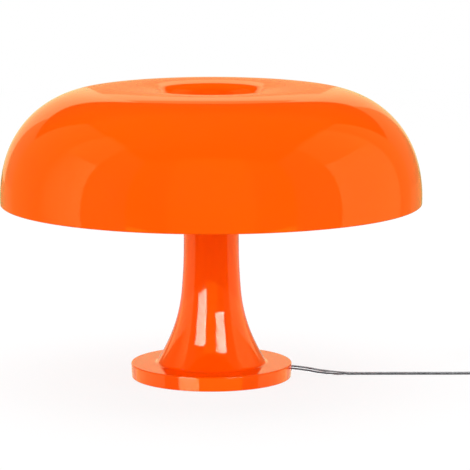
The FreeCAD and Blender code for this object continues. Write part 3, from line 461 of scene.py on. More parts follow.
def stranded_core():
    """Bundle of fine tinned wires, laid in a slow twist, seen through the jacket; the colour darkens in the
    grooves between the wires as painted shade.
    """
    material, tree = blank_material("stranded_core")
    place = add(tree, "ShaderNodeTexCoord").outputs["UV"]
    twist = (2 * pi * CORE_STRANDS, 2 * pi / STRAND_LAY, 0.0)
    turn = add(tree, "ShaderNodeVectorMath", {0: place, 1: twist}, operation="DOT_PRODUCT")
    wires = add(tree, "ShaderNodeMath", {0: turn.outputs["Value"]}, operation="SINE").outputs[0]
    height = add(tree, "ShaderNodeMapRange", {"Value": wires, "From Min": -1.0, "From Max": 1.0})
    level = height.outputs["Result"]
    return finished(material, {
        # painted shade: the wire height also darkens the colour in the grooves between strands, besides
        # bumping them
        "Base Color": ramp(tree, level, (0.05, 0.05, 0.053), (0.19, 0.19, 0.197), 0.1, 0.8),
        "Metallic": 0.6,
        "Roughness": span(tree, noise(tree, 900.0), 0.3, 0.45),
        "Normal": rough_skin(tree, level, 0.6, 0.0001),
    })


def woven_strap():
    """Close black weave of the band round the coil; the colour is darker where the threads dip, as painted
    shade in the gaps.
    """
    material, tree = blank_material("woven_strap")
    place = add(tree, "ShaderNodeTexCoord").outputs["UV"]
    threads = []
    for way in ("X", "Y"):
        inputs = {"Vector": place, "Scale": 250.0, "Distortion": 0.3}
        wave = add(tree, "ShaderNodeTexWave", inputs, bands_direction=way)
        threads.append(wave.outputs["Fac"])
    weave = add(tree, "ShaderNodeMath", {0: threads[0], 1: threads[1]}, operation="MULTIPLY").outputs[0]
    return finished(material, {
        # painted shade: the weave height also darkens the colour in the gaps between threads, besides
        # bumping them
        "Base Color": ramp(tree, weave, (0.006, 0.006, 0.007), (0.035, 0.035, 0.037), 0.05, 0.7),
        "Roughness": span(tree, noise(tree, 700.0), 0.75, 0.9),
        "Sheen Weight": 0.3,
        "Sheen Roughness": 0.5,
        "Normal": rough_skin(tree, weave, 0.7, 0.0002),
    })


MATERIALS = {
    "orange": orange_plastic(),
    "felt": felt_cloth(),
    "black_plastic": moulded(
        "black_satin", (0.012, 0.012, 0.013), (0.022, 0.022, 0.023), (0.32, 0.48), 1500.0, 0.12, 0.0005
    ),
    "steel": metal("plated_steel", (0.52, 0.52, 0.53), (0.64, 0.64, 0.65), (0.22, 0.38), (1.0, 1.0, 0.05)),
    "iron": cast_iron(),
    "white_plastic": moulded(
        "white_matte", (0.74, 0.73, 0.69), (0.82, 0.81, 0.77), (0.35, 0.5), 1200.0, 0.08, 0.0004
    ),
    "brass": metal("bright_brass", (0.62, 0.42, 0.15), (0.76, 0.55, 0.22), (0.18, 0.32), (1.0, 0.06, 1.0)),
    "clear_cord": clear_jacket(),
    "opal": opal_glass(),
    "brown_wire": moulded(
        "brown_insulation", (0.055, 0.02, 0.008), (0.085, 0.03, 0.012), (0.3, 0.42), 900.0, 0.1
    ),
    "blue_wire": moulded(
        "blue_insulation", (0.008, 0.04, 0.24), (0.014, 0.065, 0.34), (0.3, 0.42), 900.0, 0.1
    ),
    "core": stranded_core(),
    "strap": woven_strap(),
}


# Mesh helpers

def trace(start, heading, moves):
    """Points along a smooth outline.

    A move is (length,) for a straight run or (radius, turn) for an arc that
    turns left by that many degrees, or right if negative.
    """
    points = [start]
    for move in moves:
        x, z = points[-1]
        angle = radians(heading)
        if len(move) == 1:
            points.append((x + move[0] * cos(angle), z + move[0] * sin(angle)))
            continue
        radius, turn = move
        quarter = copysign(pi / 2, turn)
        middle = (x + radius * cos(angle + quarter), z + radius * sin(angle + quarter))
        steps = max(ARC_LEAST, round(abs(turn) / ARC_STEP))
        for step in range(1, steps + 1):
            spoke = angle + radians(turn) * step / steps - quarter
            points.append((middle[0] + radius * cos(spoke), middle[1] + radius * sin(spoke)))
        heading += turn
    return points


def beside(moves, gap):
    """The same moves on a parallel outline that lies a gap to the left."""
    result = []
    for move in moves:
        if len(move) == 1:
            result.append(move)
        else:
            result.append((move[0] - copysign(gap, move[1]), move[1]))
    return result


def soft_corners(corners, radius):
    """An open outline with its corners eased by a small curve."""
    points = [corners[0]]
    for before, corner, after in zip(corners, corners[1:], corners[2:]):
        corner = Vector(corner)
        into = Vector(before) - corner
        out = Vector(after) - corner
        reach = min(radius, CORNER_SHARE * into.length, CORNER_SHARE * out.length)
        start = corner + into.normalized() * reach
        end = corner + out.normalized() * reach
        for step in range(CORNER_STEPS + 1):
            share = step / CORNER_STEPS
            spot = start * (1 - share) ** 2 + corner * 2 * share * (1 - share) + end * share ** 2
            points.append(tuple(spot))
    points.append(corners[-1])
    return points


def linked(name, data):
    """New object in the scene."""
    made = bpy.data.objects.new(name, data)
    bpy.context.scene.collection.objects.link(made)
    return made


def evaluated(carrier):
    """New mesh of an object as its modifiers or its curve shape it."""
    bpy.context.view_layer.update()
    state = bpy.context.evaluated_depsgraph_get()
    return bpy.data.meshes.new_from_object(carrier.evaluated_get(state))


def new_piece(name, points, faces, slot, body, stands_for=(), finish=None):
    """Smooth mesh piece with its finish, its body and the nodes it stands for."""
    mesh = bpy.data.meshes.new(name)
    mesh.from_pydata(points, [], faces)
    mesh.validate()
    mesh.materials.append(MATERIALS[finish or slot])
    smooth(mesh)
    piece = linked(name, mesh)
    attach(piece, body)
    if stands_for:
        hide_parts(*stands_for)
    return piece


def lathe(outline, steps=ROUND_STEPS, ripple=None):
    """Points and faces of an outline of (radius, height) pairs turned round Z.

    The outline runs with the outside on its right hand; a ripple adds to the
    radius by angle and height.
    """
    points = []
    rings = []
    for radius, height in outline:
        if radius < ON_AXIS:
            rings.append([len(points)] * steps)
            points.append((0.0, 0.0, height))
            continue
        ring = []
        for step in range(steps):
            angle = 2 * pi * step / steps
            reach = radius + (ripple(angle, height) if ripple else 0.0)
            ring.append(len(points))
            points.append((reach * cos(angle), reach * sin(angle), height))
        rings.append(ring)
    faces = []
    for low, high in zip(rings, rings[1:]):
        for step in range(steps):
            ahead = (step + 1) % steps
            corners = []
            for index in (low[step], low[ahead], high[ahead], high[step]):
                if index not in corners:
                    corners.append(index)
            if len(corners) > 2:
                faces.append(corners)
    return points, faces


def placed(points, matrix):
    return [tuple(matrix @ Vector(point)) for point in points]


def smooth(mesh):
    """Smooth shading that keeps sharp edges."""
    mesh.shade_smooth()
    mesh.set_sharp_from_angle(angle=radians(SHARP_ANGLE))


def drill(piece, start, end, radius):
    """Round hole through a piece, from one point to the other."""
    ahead = Vector(end) - Vector(start)
    outline = [(0.0, 0.0), (radius, 0.0), (radius, ahead.length), (0.0, ahead.length)]
    points, faces = lathe(outline, SMALL_STEPS)
    tool_mesh = bpy.data.meshes.new("drill")
    place = Matrix.Translation(start) @ ahead.to_track_quat("Z", "Y").to_matrix().to_4x4()
    tool_mesh.from_pydata(placed(points, place), [], faces)
    tool = linked("drill", tool_mesh)
    cut = piece.modifiers.new("hole", "BOOLEAN")
    cut.operation = "DIFFERENCE"
    cut.object = tool
    before = piece.data
    after = evaluated(piece)
    piece.modifiers.remove(cut)
    piece.data = after
    smooth(after)
    bpy.data.objects.remove(tool)
    bpy.data.meshes.remove(tool_mesh)
    bpy.data.meshes.remove(before)


def even(start, end, count):
    """Values at equal steps, with both ends."""
    return [start + (end - start) * step / count for step in range(count + 1)]


def clamped(value):
    """The value, held between 0 and 1."""
    return min(1.0, max(0.0, value))


def oblong(angle, power):
    """Point of a unit outline between a circle, at power 2, and a square."""
    return [copysign(abs(part) ** (2 / power), part) for part in (cos(angle), sin(angle))]


def ridge(turns):
    """Height from 0 to 1 of round ridges, one each turn, with flat ground between them."""
    return max(0.0, sin(2 * pi * turns)) ** 0.5


# Shade

def shade_piece():
    """Cap, dish, lip and well as one outline, with the wall's inner face beside it, turned round Z."""
    rim = (SHADE_RADIUS - WALL_ARC * (1 - cos(radians(RIM_LEAN))), RIM_Z)
    heading = 90 - RIM_LEAN
    crown_sweep = 180 - heading - WALL_SWEEP - SHOULDER_SWEEP
    cap = [
        (WALL_ARC, WALL_SWEEP),
        (SHOULDER_ARC, SHOULDER_SWEEP),
        (CROWN_ARC, crown_sweep + DISH_SLOPE),
    ]
    brow = trace(rim, heading, cap)[-1]
    under = HUB_TOP + SEAT_CLEARANCE
    fall = radians(DISH_SLOPE)
    draft = radians(WELL_DRAFT)
    dish = (brow[0] - WELL_RADIUS - WELL_LIP * (cos(draft) - sin(fall))) / cos(fall)
    lip_z = brow[1] - dish * sin(fall)
    lip_drop = WELL_LIP * (cos(fall) - sin(draft))
    drop = lip_z - lip_drop - under - SHADE_WALL - WELL_CORNER * (1 - sin(draft))
    well_floor = WELL_RADIUS - drop * tan(draft) - WELL_CORNER * cos(draft)
    moves = cap + [
        (dish,),
        (WELL_LIP, 90 - WELL_DRAFT - DISH_SLOPE),
        (drop / cos(draft),),
        (WELL_CORNER, WELL_DRAFT - 90),
        (well_floor,),
    ]
    outside = trace(rim, heading, moves)
    outside[-1] = (0.0, outside[-1][1])
    angle = radians(heading)
    inner_rim = (rim[0] - SHADE_WALL * sin(angle), rim[1] + SHADE_WALL * cos(angle))
    inside = trace(inner_rim, heading, beside(moves, SHADE_WALL))[:-1]
    skirt_in = HUB_RADIUS + SEAT_CLEARANCE
    skirt_out = skirt_in + SKIRT_WALL
    skirt = soft_corners([
        (skirt_out, under), (skirt_out, under - SKIRT_DEPTH),
        (skirt_in, under - SKIRT_DEPTH), (skirt_in, under),
    ], SKIRT_EDGE)
    inside += skirt + [(0.0, under)]
    edge = []
    for step in range(1, RIM_STEPS):
        share = step / RIM_STEPS
        bulge = RIM_ROUND * sin(pi * share)
        edge.append((
            inner_rim[0] + (rim[0] - inner_rim[0]) * share,
            inner_rim[1] + (rim[1] - inner_rim[1]) * share - bulge,
        ))
    points, faces = lathe(inside[::-1] + edge + outside)
    return new_piece("shade_cap", points, faces, "orange", "shade", ["shade"])


# Column

def column_piece():
    """Disc base and flared stem as one outline, hollow under the base, with the hole for the cord."""
    moves = [
        (FOOT_FILLET, FOOT_ANGLE - 90),
        (FOOT_ARC, FLARE_ANGLE - FOOT_ANGLE),
        (FLARE_ARC, STEM_TAPER - FLARE_ANGLE),
        (STEM_ARC, -STEM_TAPER),
    ]
    foot = STEM_RADIUS - trace((0.0, 0.0), 180.0, moves)[-1][0]
    stem = trace((foot, BASE_TOP), 180.0, moves)
    draft = radians(BASE_DRAFT)
    low = BASE_RADIUS - (BASE_TOP - RIM_GAP) * tan(draft) - BASE_FOOT_EDGE
    rounds = BASE_FOOT_EDGE * (1 - sin(draft)) + BASE_EDGE * (1 + sin(draft))
    side = [
        (BASE_FOOT_EDGE, 90 - BASE_DRAFT),
        ((BASE_TOP - RIM_GAP - rounds) / cos(draft),),
        (BASE_EDGE, 90 + BASE_DRAFT),
    ]
    base = trace((low, RIM_GAP), 0.0, side)
    inner = BASE_RADIUS - COLUMN_WALL
    ceiling = BASE_TOP - COLUMN_WALL
    top = [
        (STEM_RADIUS, COLUMN_TOP - STEM_EDGE), (STEM_RADIUS - STEM_EDGE, COLUMN_TOP), (0.0, COLUMN_TOP),
    ]
    outline = [(0.0, ceiling), (inner, ceiling), (inner, RIM_GAP)] + base + stem + top
    points, faces = lathe(outline)
    column = new_piece("column_body", points, faces, "orange", "lamp", ["column"])
    start = (inner - DRILL_MORE, 0.0, CORD_Z)
    end = (BASE_RADIUS + DRILL_MORE, 0.0, CORD_Z)
    drill(column, start, end, BUSH_HOLE)
    return column


# Bulbs and lampholders, drawn along Z and then laid out to each side

def side_place(side):
    """Turns Z to point out along the lampholder of that side."""
    way = 1.0 if side == "right" else -1.0
    turn = Matrix.Rotation(way * pi / 2, 4, "Y")
    return Matrix.Translation((0.0, 0.0, SOCKET_Z)) @ turn


def thread(angle, height):
    """Rolled thread of a screw cap, cut inwards from the full radius."""
    start = clamped((height - CAP_START) / THREAD_PITCH)
    end = clamped((THREAD_END - height) / THREAD_PITCH)
    wave = 0.5 - 0.5 * cos(angle - 2 * pi * height / THREAD_PITCH)
    return -THREAD_DEPTH * wave * start * end


def ribs(angle, height):
    """Finger ribs round a lampholder sleeve."""
    inside = RIBS_START < height < RIBS_END
    return RIB_DEPTH * (0.5 * cos(HOLDER_RIBS * angle) - 0.5) if inside else 0.0


def bulb_pieces(side):
    """Globe, collar and threaded cap of one bulb."""
    place = side_place(side)
    centre = COLLAR_END + sqrt(GLOBE_RADIUS ** 2 - GLOBE_NECK ** 2)
    start = pi - asin(GLOBE_NECK / GLOBE_RADIUS)
    globe = [(0.0, COLLAR_END)]
    for step in range(GLOBE_STEPS + 1):
        angle = start * (1 - step / GLOBE_STEPS)
        globe.append((GLOBE_RADIUS * sin(angle), centre + GLOBE_RADIUS * cos(angle)))
    globe[-1] = (0.0, globe[-1][1])
    collar = soft_corners([
        (0.0, CAP_END), (COLLAR_NECK, CAP_END), (COLLAR_NECK, HOLDER_END),
        (COLLAR_RADIUS - COLLAR_BEVEL, COLLAR_END - COLLAR_FLARE),
        (COLLAR_RADIUS, COLLAR_END - COLLAR_BEVEL),
        (COLLAR_RADIUS - COLLAR_EDGE, COLLAR_END), (0.0, COLLAR_END),
    ], COLLAR_ROUND)
    rows = even(CAP_START + CAP_TAPER_LENGTH, CAP_END - CAP_EDGE, THREAD_ROWS)
    cap = [(0.0, CAP_START), (CAP_RADIUS - CAP_TAPER, CAP_START)]
    cap += [(CAP_RADIUS, height) for height in rows]
    cap += [(CAP_RADIUS - CAP_EDGE_DEPTH, CAP_END), (0.0, CAP_END)]
    for name, outline, ripple, slot, node in (
        ("globe_", globe, None, "opal", "bulb_globe_"),
        ("collar_", collar, None, "white_plastic", "bulb_collar_"),
        ("screw_cap_", cap, thread, "steel", "bulb_cap_"),
    ):
        points, faces = lathe(outline, BULB_STEPS, ripple)
        new_piece(name + side, placed(points, place), faces, slot, "bulb_" + side, [node + side])


def holder_pieces(side):
    """Rear shell and ribbed sleeve of one lampholder."""
    place = side_place(side)
    cone = BACK_START + HOLDER_CONE
    wall = BACK_START + BACK_WALL
    rim = (HOLDER_RADIUS - HOLDER_EDGE, BACK_END)
    back = soft_corners([
        (HOLDER_BORE, BACK_START), (HOLDER_NOSE, BACK_START), (HOLDER_RADIUS, cone),
        (HOLDER_RADIUS, BACK_END - HOLDER_EDGE / 2), rim,
        (HOLDER_INSIDE, BACK_END), (HOLDER_INSIDE, cone),
        (HOLDER_NOSE_INSIDE, wall), (HOLDER_BORE, wall), (HOLDER_BORE, BACK_START),
    ], HOLDER_ROUND)
    mouth = HOLDER_END - HOLDER_LIP_THICK
    sleeve = [rim, (HOLDER_RADIUS, BACK_END + HOLDER_SEAM)]
    sleeve += [(HOLDER_RADIUS, height) for height in even(SLEEVE_START, SLEEVE_END, SLEEVE_ROWS)]
    sleeve += [
        (HOLDER_RADIUS, HOLDER_END - MOUTH_ROUND), (HOLDER_RADIUS - MOUTH_EDGE, HOLDER_END - MOUTH_EDGE),
        (HOLDER_RADIUS - MOUTH_ROUND, HOLDER_END), (HOLDER_LIP, HOLDER_END), (HOLDER_LIP, mouth),
        (HOLDER_INSIDE, mouth), (HOLDER_INSIDE, BACK_END), rim,
    ]
    for name, outline, steps, ripple, node in (
        ("holder_rear_", back, HOLDER_STEPS, None, "holder_back_"),
        ("holder_grip_", sleeve, HOLDER_RIBS * RIB_STEPS, ribs, "holder_sleeve_"),
    ):
        points, faces = lathe(outline, steps, ripple)
        new_piece(name + side, placed(points, place), faces, "white_plastic", "lamp", [node + side])


# Cord

def lead_points():
    """From the base to the switch."""
    return [
        (BASE_RADIUS, 0.0, CORD_Z),
        (BASE_RADIUS + 0.0104, 0.0001, 0.0058),
        (BASE_RADIUS + 0.0224, 0.0008, 0.0032),
        (BASE_RADIUS + 0.0364, 0.0028, 0.0016),
        (BASE_RADIUS + 0.0544, 0.0051, CORD_FLOOR),
        (SWITCH_X - 0.08, 0.0052, CORD_FLOOR),
        (SWITCH_X - 0.045, 0.005, CORD_FLOOR),
        (SWITCH_X - 0.0205, ENTRY_Y - 0.0362, CORD_FLOOR),
        (SWITCH_X - 0.0075, ENTRY_Y - 0.029, CORD_FLOOR),
        (SWITCH_X - 0.0006, ENTRY_Y - 0.019, 0.0016),
        (SWITCH_X, ENTRY_Y - 0.009, 0.0031),
        (SWITCH_X, ENTRY_Y, ENTRY_Z),
    ]


def tail_points():
    """From the switch to the coil."""
    across = COIL_START_X - SWITCH_X
    return [
        (SWITCH_X, LEAVE_Y, ENTRY_Z),
        (SWITCH_X, LEAVE_Y + 0.007, 0.0032),
        (SWITCH_X, LEAVE_Y + 0.016, 0.0017),
        (SWITCH_X + 0.11 * across, LEAVE_Y + 0.0255, CORD_FLOOR),
        (SWITCH_X + 0.35 * across, LEAVE_Y + 0.0325, CORD_FLOOR),
        (SWITCH_X + 0.66 * across, LEAVE_Y + 0.0325, CORD_FLOOR),
        (SWITCH_X + 0.90 * across, LEAVE_Y + 0.025, CORD_FLOOR),
        (COIL_START_X + 0.0006, LEAVE_Y + 0.011, CORD_FLOOR),
        (COIL_START_X + 0.0014, LEAVE_Y - 0.017, CORD_FLOOR),
        (COIL_START_X + 0.0016, LEAVE_Y - 0.062, CORD_FLOOR),
        (COIL_START_X + 0.0006, COIL_Y + 0.042, 0.0014),
        (COIL_START_X + 0.0002, COIL_Y + 0.018, 0.0024),
    ]


def coil_points():
    """Half turns: inwards on the lower layer, up a layer, outwards on the upper one."""
    radii = [COIL_RADIUS - step * COIL_PITCH / 2 for step in range(COIL_IN + 1)]
    radii += [radii[-1] + (step + 1) * COIL_PITCH / 2 for step in range(COIL_OUT)]
    radii[0] += COIL_EASE / 2
    radii[-1] += COIL_EASE / 2
    points = []
    x = COIL_START_X
    way = -1.0
    step_angle = pi / COIL_STEPS
    for count, radius in enumerate(radii):
        middle = x + way * radius
        reach = radius / cos(step_angle / 2)
        for step in range(COIL_STEPS):
            share = (step + 0.5) / COIL_STEPS
            angle = pi * share
            climb = clamped(count - COIL_IN + share)
            points.append((
                middle - way * reach * cos(angle),
                COIL_Y + way * reach * sin(angle),
                COIL_LOW + (COIL_HIGH - COIL_LOW) * climb,
            ))
        x += way * 2 * radius
        way = -way
    return points


def end_points():
    """From the coil into the plug's neck."""
    return [
        (COIL_END_X, COIL_Y - PLUG_GAP / 3, COIL_HIGH - END_SAG),
        (COIL_END_X, COIL_Y - PLUG_GAP * 2 / 3, PLUG_Z - END_SAG),
        (COIL_END_X, COIL_Y - PLUG_GAP, PLUG_Z),
    ]


def spline_line(points):
    """Points read along the smooth line that has the route's points as its controls."""
    curve = bpy.data.curves.new("cord_route", "CURVE")
    curve.dimensions = "3D"
    curve.resolution_u = CORD_RESOLUTION
    spline = curve.splines.new("NURBS")
    spline.points.add(len(points) - 1)
    for spot, place in zip(spline.points, points):
        spot.co = (*place, 1.0)
    spline.order_u = CORD_ORDER
    spline.use_endpoint_u = True
    carrier = linked("cord_route", curve)
    mesh = evaluated(carrier)
    line = [vertex.co.copy() for vertex in mesh.vertices]
    bpy.data.objects.remove(carrier)
    bpy.data.meshes.remove(mesh)
    return line


def eased(value, knots):
    """Smooth steps between (place, level) knots."""
    if value <= knots[0][0]:
        return knots[0][1]
    for (start, low), (end, high) in zip(knots, knots[1:]):
        if value <= end:
            share = (value - start) / (end - start)
            return low + (high - low) * share * share * (3 - 2 * share)
    return knots[-1][1]


def distances(line):
    """Metres travelled at each point of a line."""
    travelled = [0.0]
    for first, second in zip(line, line[1:]):
        travelled.append(travelled[-1] + (second - first).length)
    return travelled


def headings(line):
    """Direction of travel at each point of a line."""
    last = len(line) - 1
    ways = [line[min(index + 1, last)] - line[max(index - 1, 0)] for index in range(last + 1)]
    return [way.normalized() for way in ways]


def cord_frames(line, knots):
    """Middle, wide direction, thin direction and distance at each point of the cord.

    Knots give how far the flat cord is rolled over, in degrees, by distance; on
    the table it is never rolled so far that an edge would go below.
    """
    frames = []
    for spot, ahead, gone in zip(line, headings(line), distances(line)):
        level = Vector((0.0, 0.0, 1.0)).cross(ahead).normalized()
        upright = ahead.cross(level)
        room = clamped((spot.z - CORD_FLOOR) / CORE_OFFSET)
        roll = min(radians(eased(gone, knots)), asin(room))
        wide = level * cos(roll) + upright * sin(roll)
        thin = upright * cos(roll) - level * sin(roll)
        frames.append((spot, wide, thin, gone))
    return frames


def tube_faces(rings, count):
    """Sides between rings of points in turn, and a cap at each end."""
    faces = []
    for ring in range(rings - 1):
        low, high = ring * count, (ring + 1) * count
        for step in range(count):
            ahead = (step + 1) % count
            faces.append((low + step, low + ahead, high + ahead, high + step))
    last = (rings - 1) * count
    return faces + [tuple(reversed(range(count))), tuple(range(last, last + count))]


def swept(frames, section):
    """Tube of a section of (across, up) pairs along the cord, closed at its ends."""
    points = []
    for spot, wide, thin, gone in frames:
        points += [tuple(spot + wide * across + thin * up) for across, up in section]
    return points, tube_faces(len(frames), len(section))


def unwrap(piece, count, along):
    """UVs of a swept tube: the share of the way round, and metres along."""
    layer = piece.data.uv_layers.new(name="along")
    for face in piece.data.polygons:
        steps = [piece.data.loops[loop].vertex_index % count for loop in face.loop_indices]
        wraps = max(steps) - min(steps) > 1
        for loop, step in zip(face.loop_indices, steps):
            ring = piece.data.loops[loop].vertex_index // count
            share = (step + count if wraps and step == 0 else step) / count
            layer.data[loop].uv = (share, along[ring])


def twin_section():
    """Two round lobes side by side with a groove between them."""
    radius = CORD_THICK / 2
    reach = pi - (acos(CORE_OFFSET / radius) + GROOVE_EASE)
    section = []
    for way, middle in ((1.0, 0.0), (-1.0, pi)):
        for step in range(LOBE_STEPS + 1):
            angle = middle - reach + 2 * reach * step / LOBE_STEPS
            section.append((way * CORE_OFFSET + radius * cos(angle), radius * sin(angle)))
    return section


def twin_lead(name, frames, stands_for):
    """Clear jacket and its two stranded cores."""
    points, faces = swept(frames, twin_section())
    jacket = new_piece(name + "_jacket", points, faces, "clear_cord", "lamp", stands_for)
    cores = []
    for side, offset in (("_core_near", -CORE_OFFSET), ("_core_far", CORE_OFFSET)):
        circle = []
        for step in range(CORE_STEPS):
            angle = 2 * pi * step / CORE_STEPS
            circle.append((offset + CORE_RADIUS * cos(angle), CORE_RADIUS * sin(angle)))
        points, faces = swept(frames, circle)
        core = new_piece(name + side, points, faces, "clear_cord", "lamp", (), "core")
        unwrap(core, len(circle), [gone for spot, wide, thin, gone in frames])
        cores.append(core)
    return jacket, cores


def inner_cord():
    """Stretch inside the base, from the terminal block through the clamp to the wall."""
    controls = (INNER_START, INNER_HALFWAY, CLAMP_END, WALL_HALFWAY, BASE_RADIUS)
    line = spline_line([(x, 0.0, CORD_Z) for x in controls])
    knots = [(CLAMP_END - INNER_START, 0.0), (distances(line)[-1], EXIT_ROLL)]
    twin_lead("cord_inner", cord_frames(line, knots), ["cord_inner"])


def relief(name, thin_end, way):
    """Rings of a strain relief on a tapered nose of the switch."""
    outline = [(RELIEF_INSIDE, 0.0)]
    for height in even(RELIEF_START, RELIEF_END, RELIEF_ROWS):
        nose = NOSE_THIN + (NOSE_THICK - NOSE_THIN) * height / NOSE_LENGTH
        ring = RELIEF_RIB * ridge(height / RELIEF_PITCH)
        outline.append((min(nose + ring - RELIEF_SUNK, RELIEF_LIMIT), height))
    outline.append((RELIEF_INSIDE, RELIEF_END))
    turn = Matrix.Rotation(-way * pi / 2, 4, "X")
    place = Matrix.Translation((SWITCH_X, thin_end, ENTRY_Z)) @ turn
    points, faces = lathe(outline, SMALL_STEPS)
    return new_piece(name, placed(points, place), faces, "black_plastic", "lamp")


def tie_band():
    """Woven band round all the turns, with its end laid over on top."""
    low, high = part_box("coil_tie")
    middle = (Vector(low) + Vector(high)) / 2
    half = (high.x - low.x) / 2
    long = (high.y - low.y - TIE_THICK) / 2
    tall = (high.z - low.z - TIE_THICK) / 2
    path = []
    for step in range(TIE_STEPS + TIE_OVERLAP + 1):
        across, up = oblong(pi * TIE_START - 2 * pi * step / TIE_STEPS, TIE_CORNER)
        lift = TIE_LIFT * clamped((step - TIE_STEPS + TIE_RAMP / 2) / TIE_RAMP)
        path.append(Vector((middle.x, middle.y + across * long, middle.z + up * tall + lift)))
    section = [(across * half, up * TIE_THICK / 2) for across, up in TIE_SECTION]
    section += [(across, -up) for across, up in reversed(section[1:-1])]
    wide = Vector((1.0, 0.0, 0.0))
    travelled = distances(path)
    frames = []
    for spot, ahead, gone in zip(path, headings(path), travelled):
        frames.append((spot, wide, ahead.cross(wide), gone))
    points, faces = swept(frames, section)
    band = new_piece("tie_band", points, faces, "black_plastic", "lamp", ["coil_tie"], "strap")
    unwrap(band, len(section), travelled)
    return band


def plug_section(half, tall, power, dent):
    """Closed outline between an oblong and a circle; a dent sinks its two flat faces."""
    outline = []
    for step in range(PLUG_STEPS):
        across, up = oblong(2 * pi * (step + 0.5) / PLUG_STEPS, power)
        x, z = across * half, up * tall
        if abs(x) < GRIP_WIDTH * half:
            z -= copysign(dent, z)
        outline.append((x, z))
    return outline


def plug_shell():
    """Flat moulded plug with grip grooves and a ribbed neck."""
    sections = []
    for inset, place in PLUG_ROUND:
        sections.append((place, plug_section(PLUG_HALF - inset, PLUG_TALL - inset, PLUG_SQUARE, 0.0)))
    for place in even(PLUG_SIDE_START, PLUG_SIDE_END, PLUG_ROWS):
        share = clamped((place - PLUG_FLANK) / (PLUG_LENGTH - PLUG_FLANK))
        half = PLUG_REAR + (PLUG_HALF - PLUG_REAR) * (1 - share) ** PLUG_TAPER
        tall = PLUG_TALL - PLUG_THINNING * share * share
        power = PLUG_SQUARE + (PLUG_REAR_SQUARE - PLUG_SQUARE) * share
        gripped = GRIP_START < place < GRIP_END
        dent = GRIP_DEPTH * ridge((place - GRIP_START) / GRIP_PITCH) if gripped else 0.0
        sections.append((place, plug_section(half, tall, power, dent)))
    for place in even(0.0, NECK_LENGTH, NECK_ROWS):
        radius = NECK_START + (NECK_END - NECK_START) * place / NECK_LENGTH
        fading = min(1.0, (NECK_LENGTH - place) / NECK_FADE)
        radius -= NECK_RIB * ridge(place / NECK_PITCH + 0.5) * fading
        sections.append((PLUG_LENGTH + place, plug_section(radius, radius, CIRCLE, 0.0)))
    points = []
    for place, outline in sections:
        points += [(COIL_END_X - x, PLUG_FACE + place, PLUG_Z + z) for x, z in outline]
    faces = tube_faces(len(sections), PLUG_STEPS)
    return new_piece("plug_shell", points, faces, "black_plastic", "lamp", ["plug_body"])


def cord_pieces():
    """The cord outside the base as one line, with all that it carries."""
    line = spline_line(lead_points() + tail_points() + coil_points() + end_points())
    start = Vector((COIL_START_X, COIL_Y, COIL_LOW))
    nearest = min(range(len(line)), key=lambda index: (line[index] - start).length)
    wound = distances(line)[nearest]
    knots = [
        (0.0, EXIT_ROLL), (HELD_LENGTH, HELD_ROLL), (FLAT_FROM, 0.0),
        (wound - FLAT_BEFORE_COIL, 0.0), (wound - ROLLED_BEFORE_COIL, COIL_ROLL),
    ]
    jacket, on_cord = twin_lead(
        "cord", cord_frames(line, knots), ["cord_lead", "cord_tail", "cord_end", "cord_coil"]
    )
    on_cord.append(relief("relief_near", ENTRY_Y - RELIEF_SET, 1.0))
    on_cord.append(relief("relief_far", LEAVE_Y + RELIEF_SET, -1.0))
    on_cord += [tie_band(), plug_shell(), frame["nodes"]["plug_pins"], frame["nodes"]["plug_sleeves"]]
    on_cord += [frame["nodes"][node] for node in frame["nodes"] if node.startswith("switch_")]


# Pieces carried over from the frame

def dress_nodes():
    """Gives each of them the finish of its slot."""
    slots = {row["node"]: row["material_slot"] for row in frame["record"]["subparts"]}
    for name, node in frame["nodes"].items():
        node.data.materials.clear()
        node.data.materials.append(MATERIALS[slots[name]])
        smooth(node.data)


# Studio

def lamp(name, place, aim, width, height, radiance, tint=WHITE):
    """Soft rectangular lamp that the camera doesn't see; the radiance is that of its face."""
    light = bpy.data.lights.new(name, "AREA")
    light.shape = "RECTANGLE"
    light.size = width
    light.size_y = height
    light.energy = radiance * pi * width * height
    light.color = tint
    carrier = linked(name, light)
    carrier.location = place
    carrier.rotation_euler = (Vector(aim) - Vector(place)).to_track_quat("-Z", "Y").to_euler()
    carrier.visible_camera = False
    return carrier


def group(name, pieces, kept=True):
    """Pieces that a light reaches, or with kept off, the ones that it leaves out."""
    made = bpy.data.collections.new(name)
    for piece in pieces:
        made.objects.link(piece)
    for member in made.collection_objects:
        member.light_linking.link_state = "INCLUDE" if kept else "EXCLUDE"
    return made


def fade(carrier, first, last):
    """Lets a lamp's face change evenly from one upright edge to the other."""
    carrier.data.use_nodes = True
    tree = carrier.data.node_tree
    face = add(tree, "ShaderNodeNewGeometry")
    part = add(tree, "ShaderNodeSeparateXYZ", {0: face.outputs["Parametric"]})
    level = add(tree, "ShaderNodeMapRange", {"Value": part.outputs["X"], "To Min": first, "To Max": last})
    tree.links.new(level.outputs["Result"], tree.nodes["Emission"].inputs["Strength"])


def only_gloss(carrier, lit, shadow):
    """Lets a lamp show only as a reflection on the pieces in lit, hidden by those in shadow."""
    carrier.visible_diffuse = False
    carrier.light_linking.receiver_collection = lit
    carrier.light_linking.blocker_collection = shadow


def card(name, azimuth, distance, across, tall, radiance, tint, lit, shadow):
    """Upright lamp that shows only as a reflection on the pieces in lit.

    Azimuth 0 faces the camera's side; across and tall are its edges, to the left
    and right of straight out and above the floor. Below 0 it is the mirror image
    of the studio in the polished table.
    """
    angle = radians(azimuth)
    out = Vector((sin(angle), -cos(angle), 0.0))
    side = Vector((cos(angle), sin(angle), 0.0))
    place = out * distance + side * (across[0] + across[1]) / 2
    place.z = (tall[0] + tall[1]) / 2
    made = lamp(name, place, place - out, across[1] - across[0], tall[1] - tall[0], radiance, tint)
    only_gloss(made, lit, shadow)
    return made


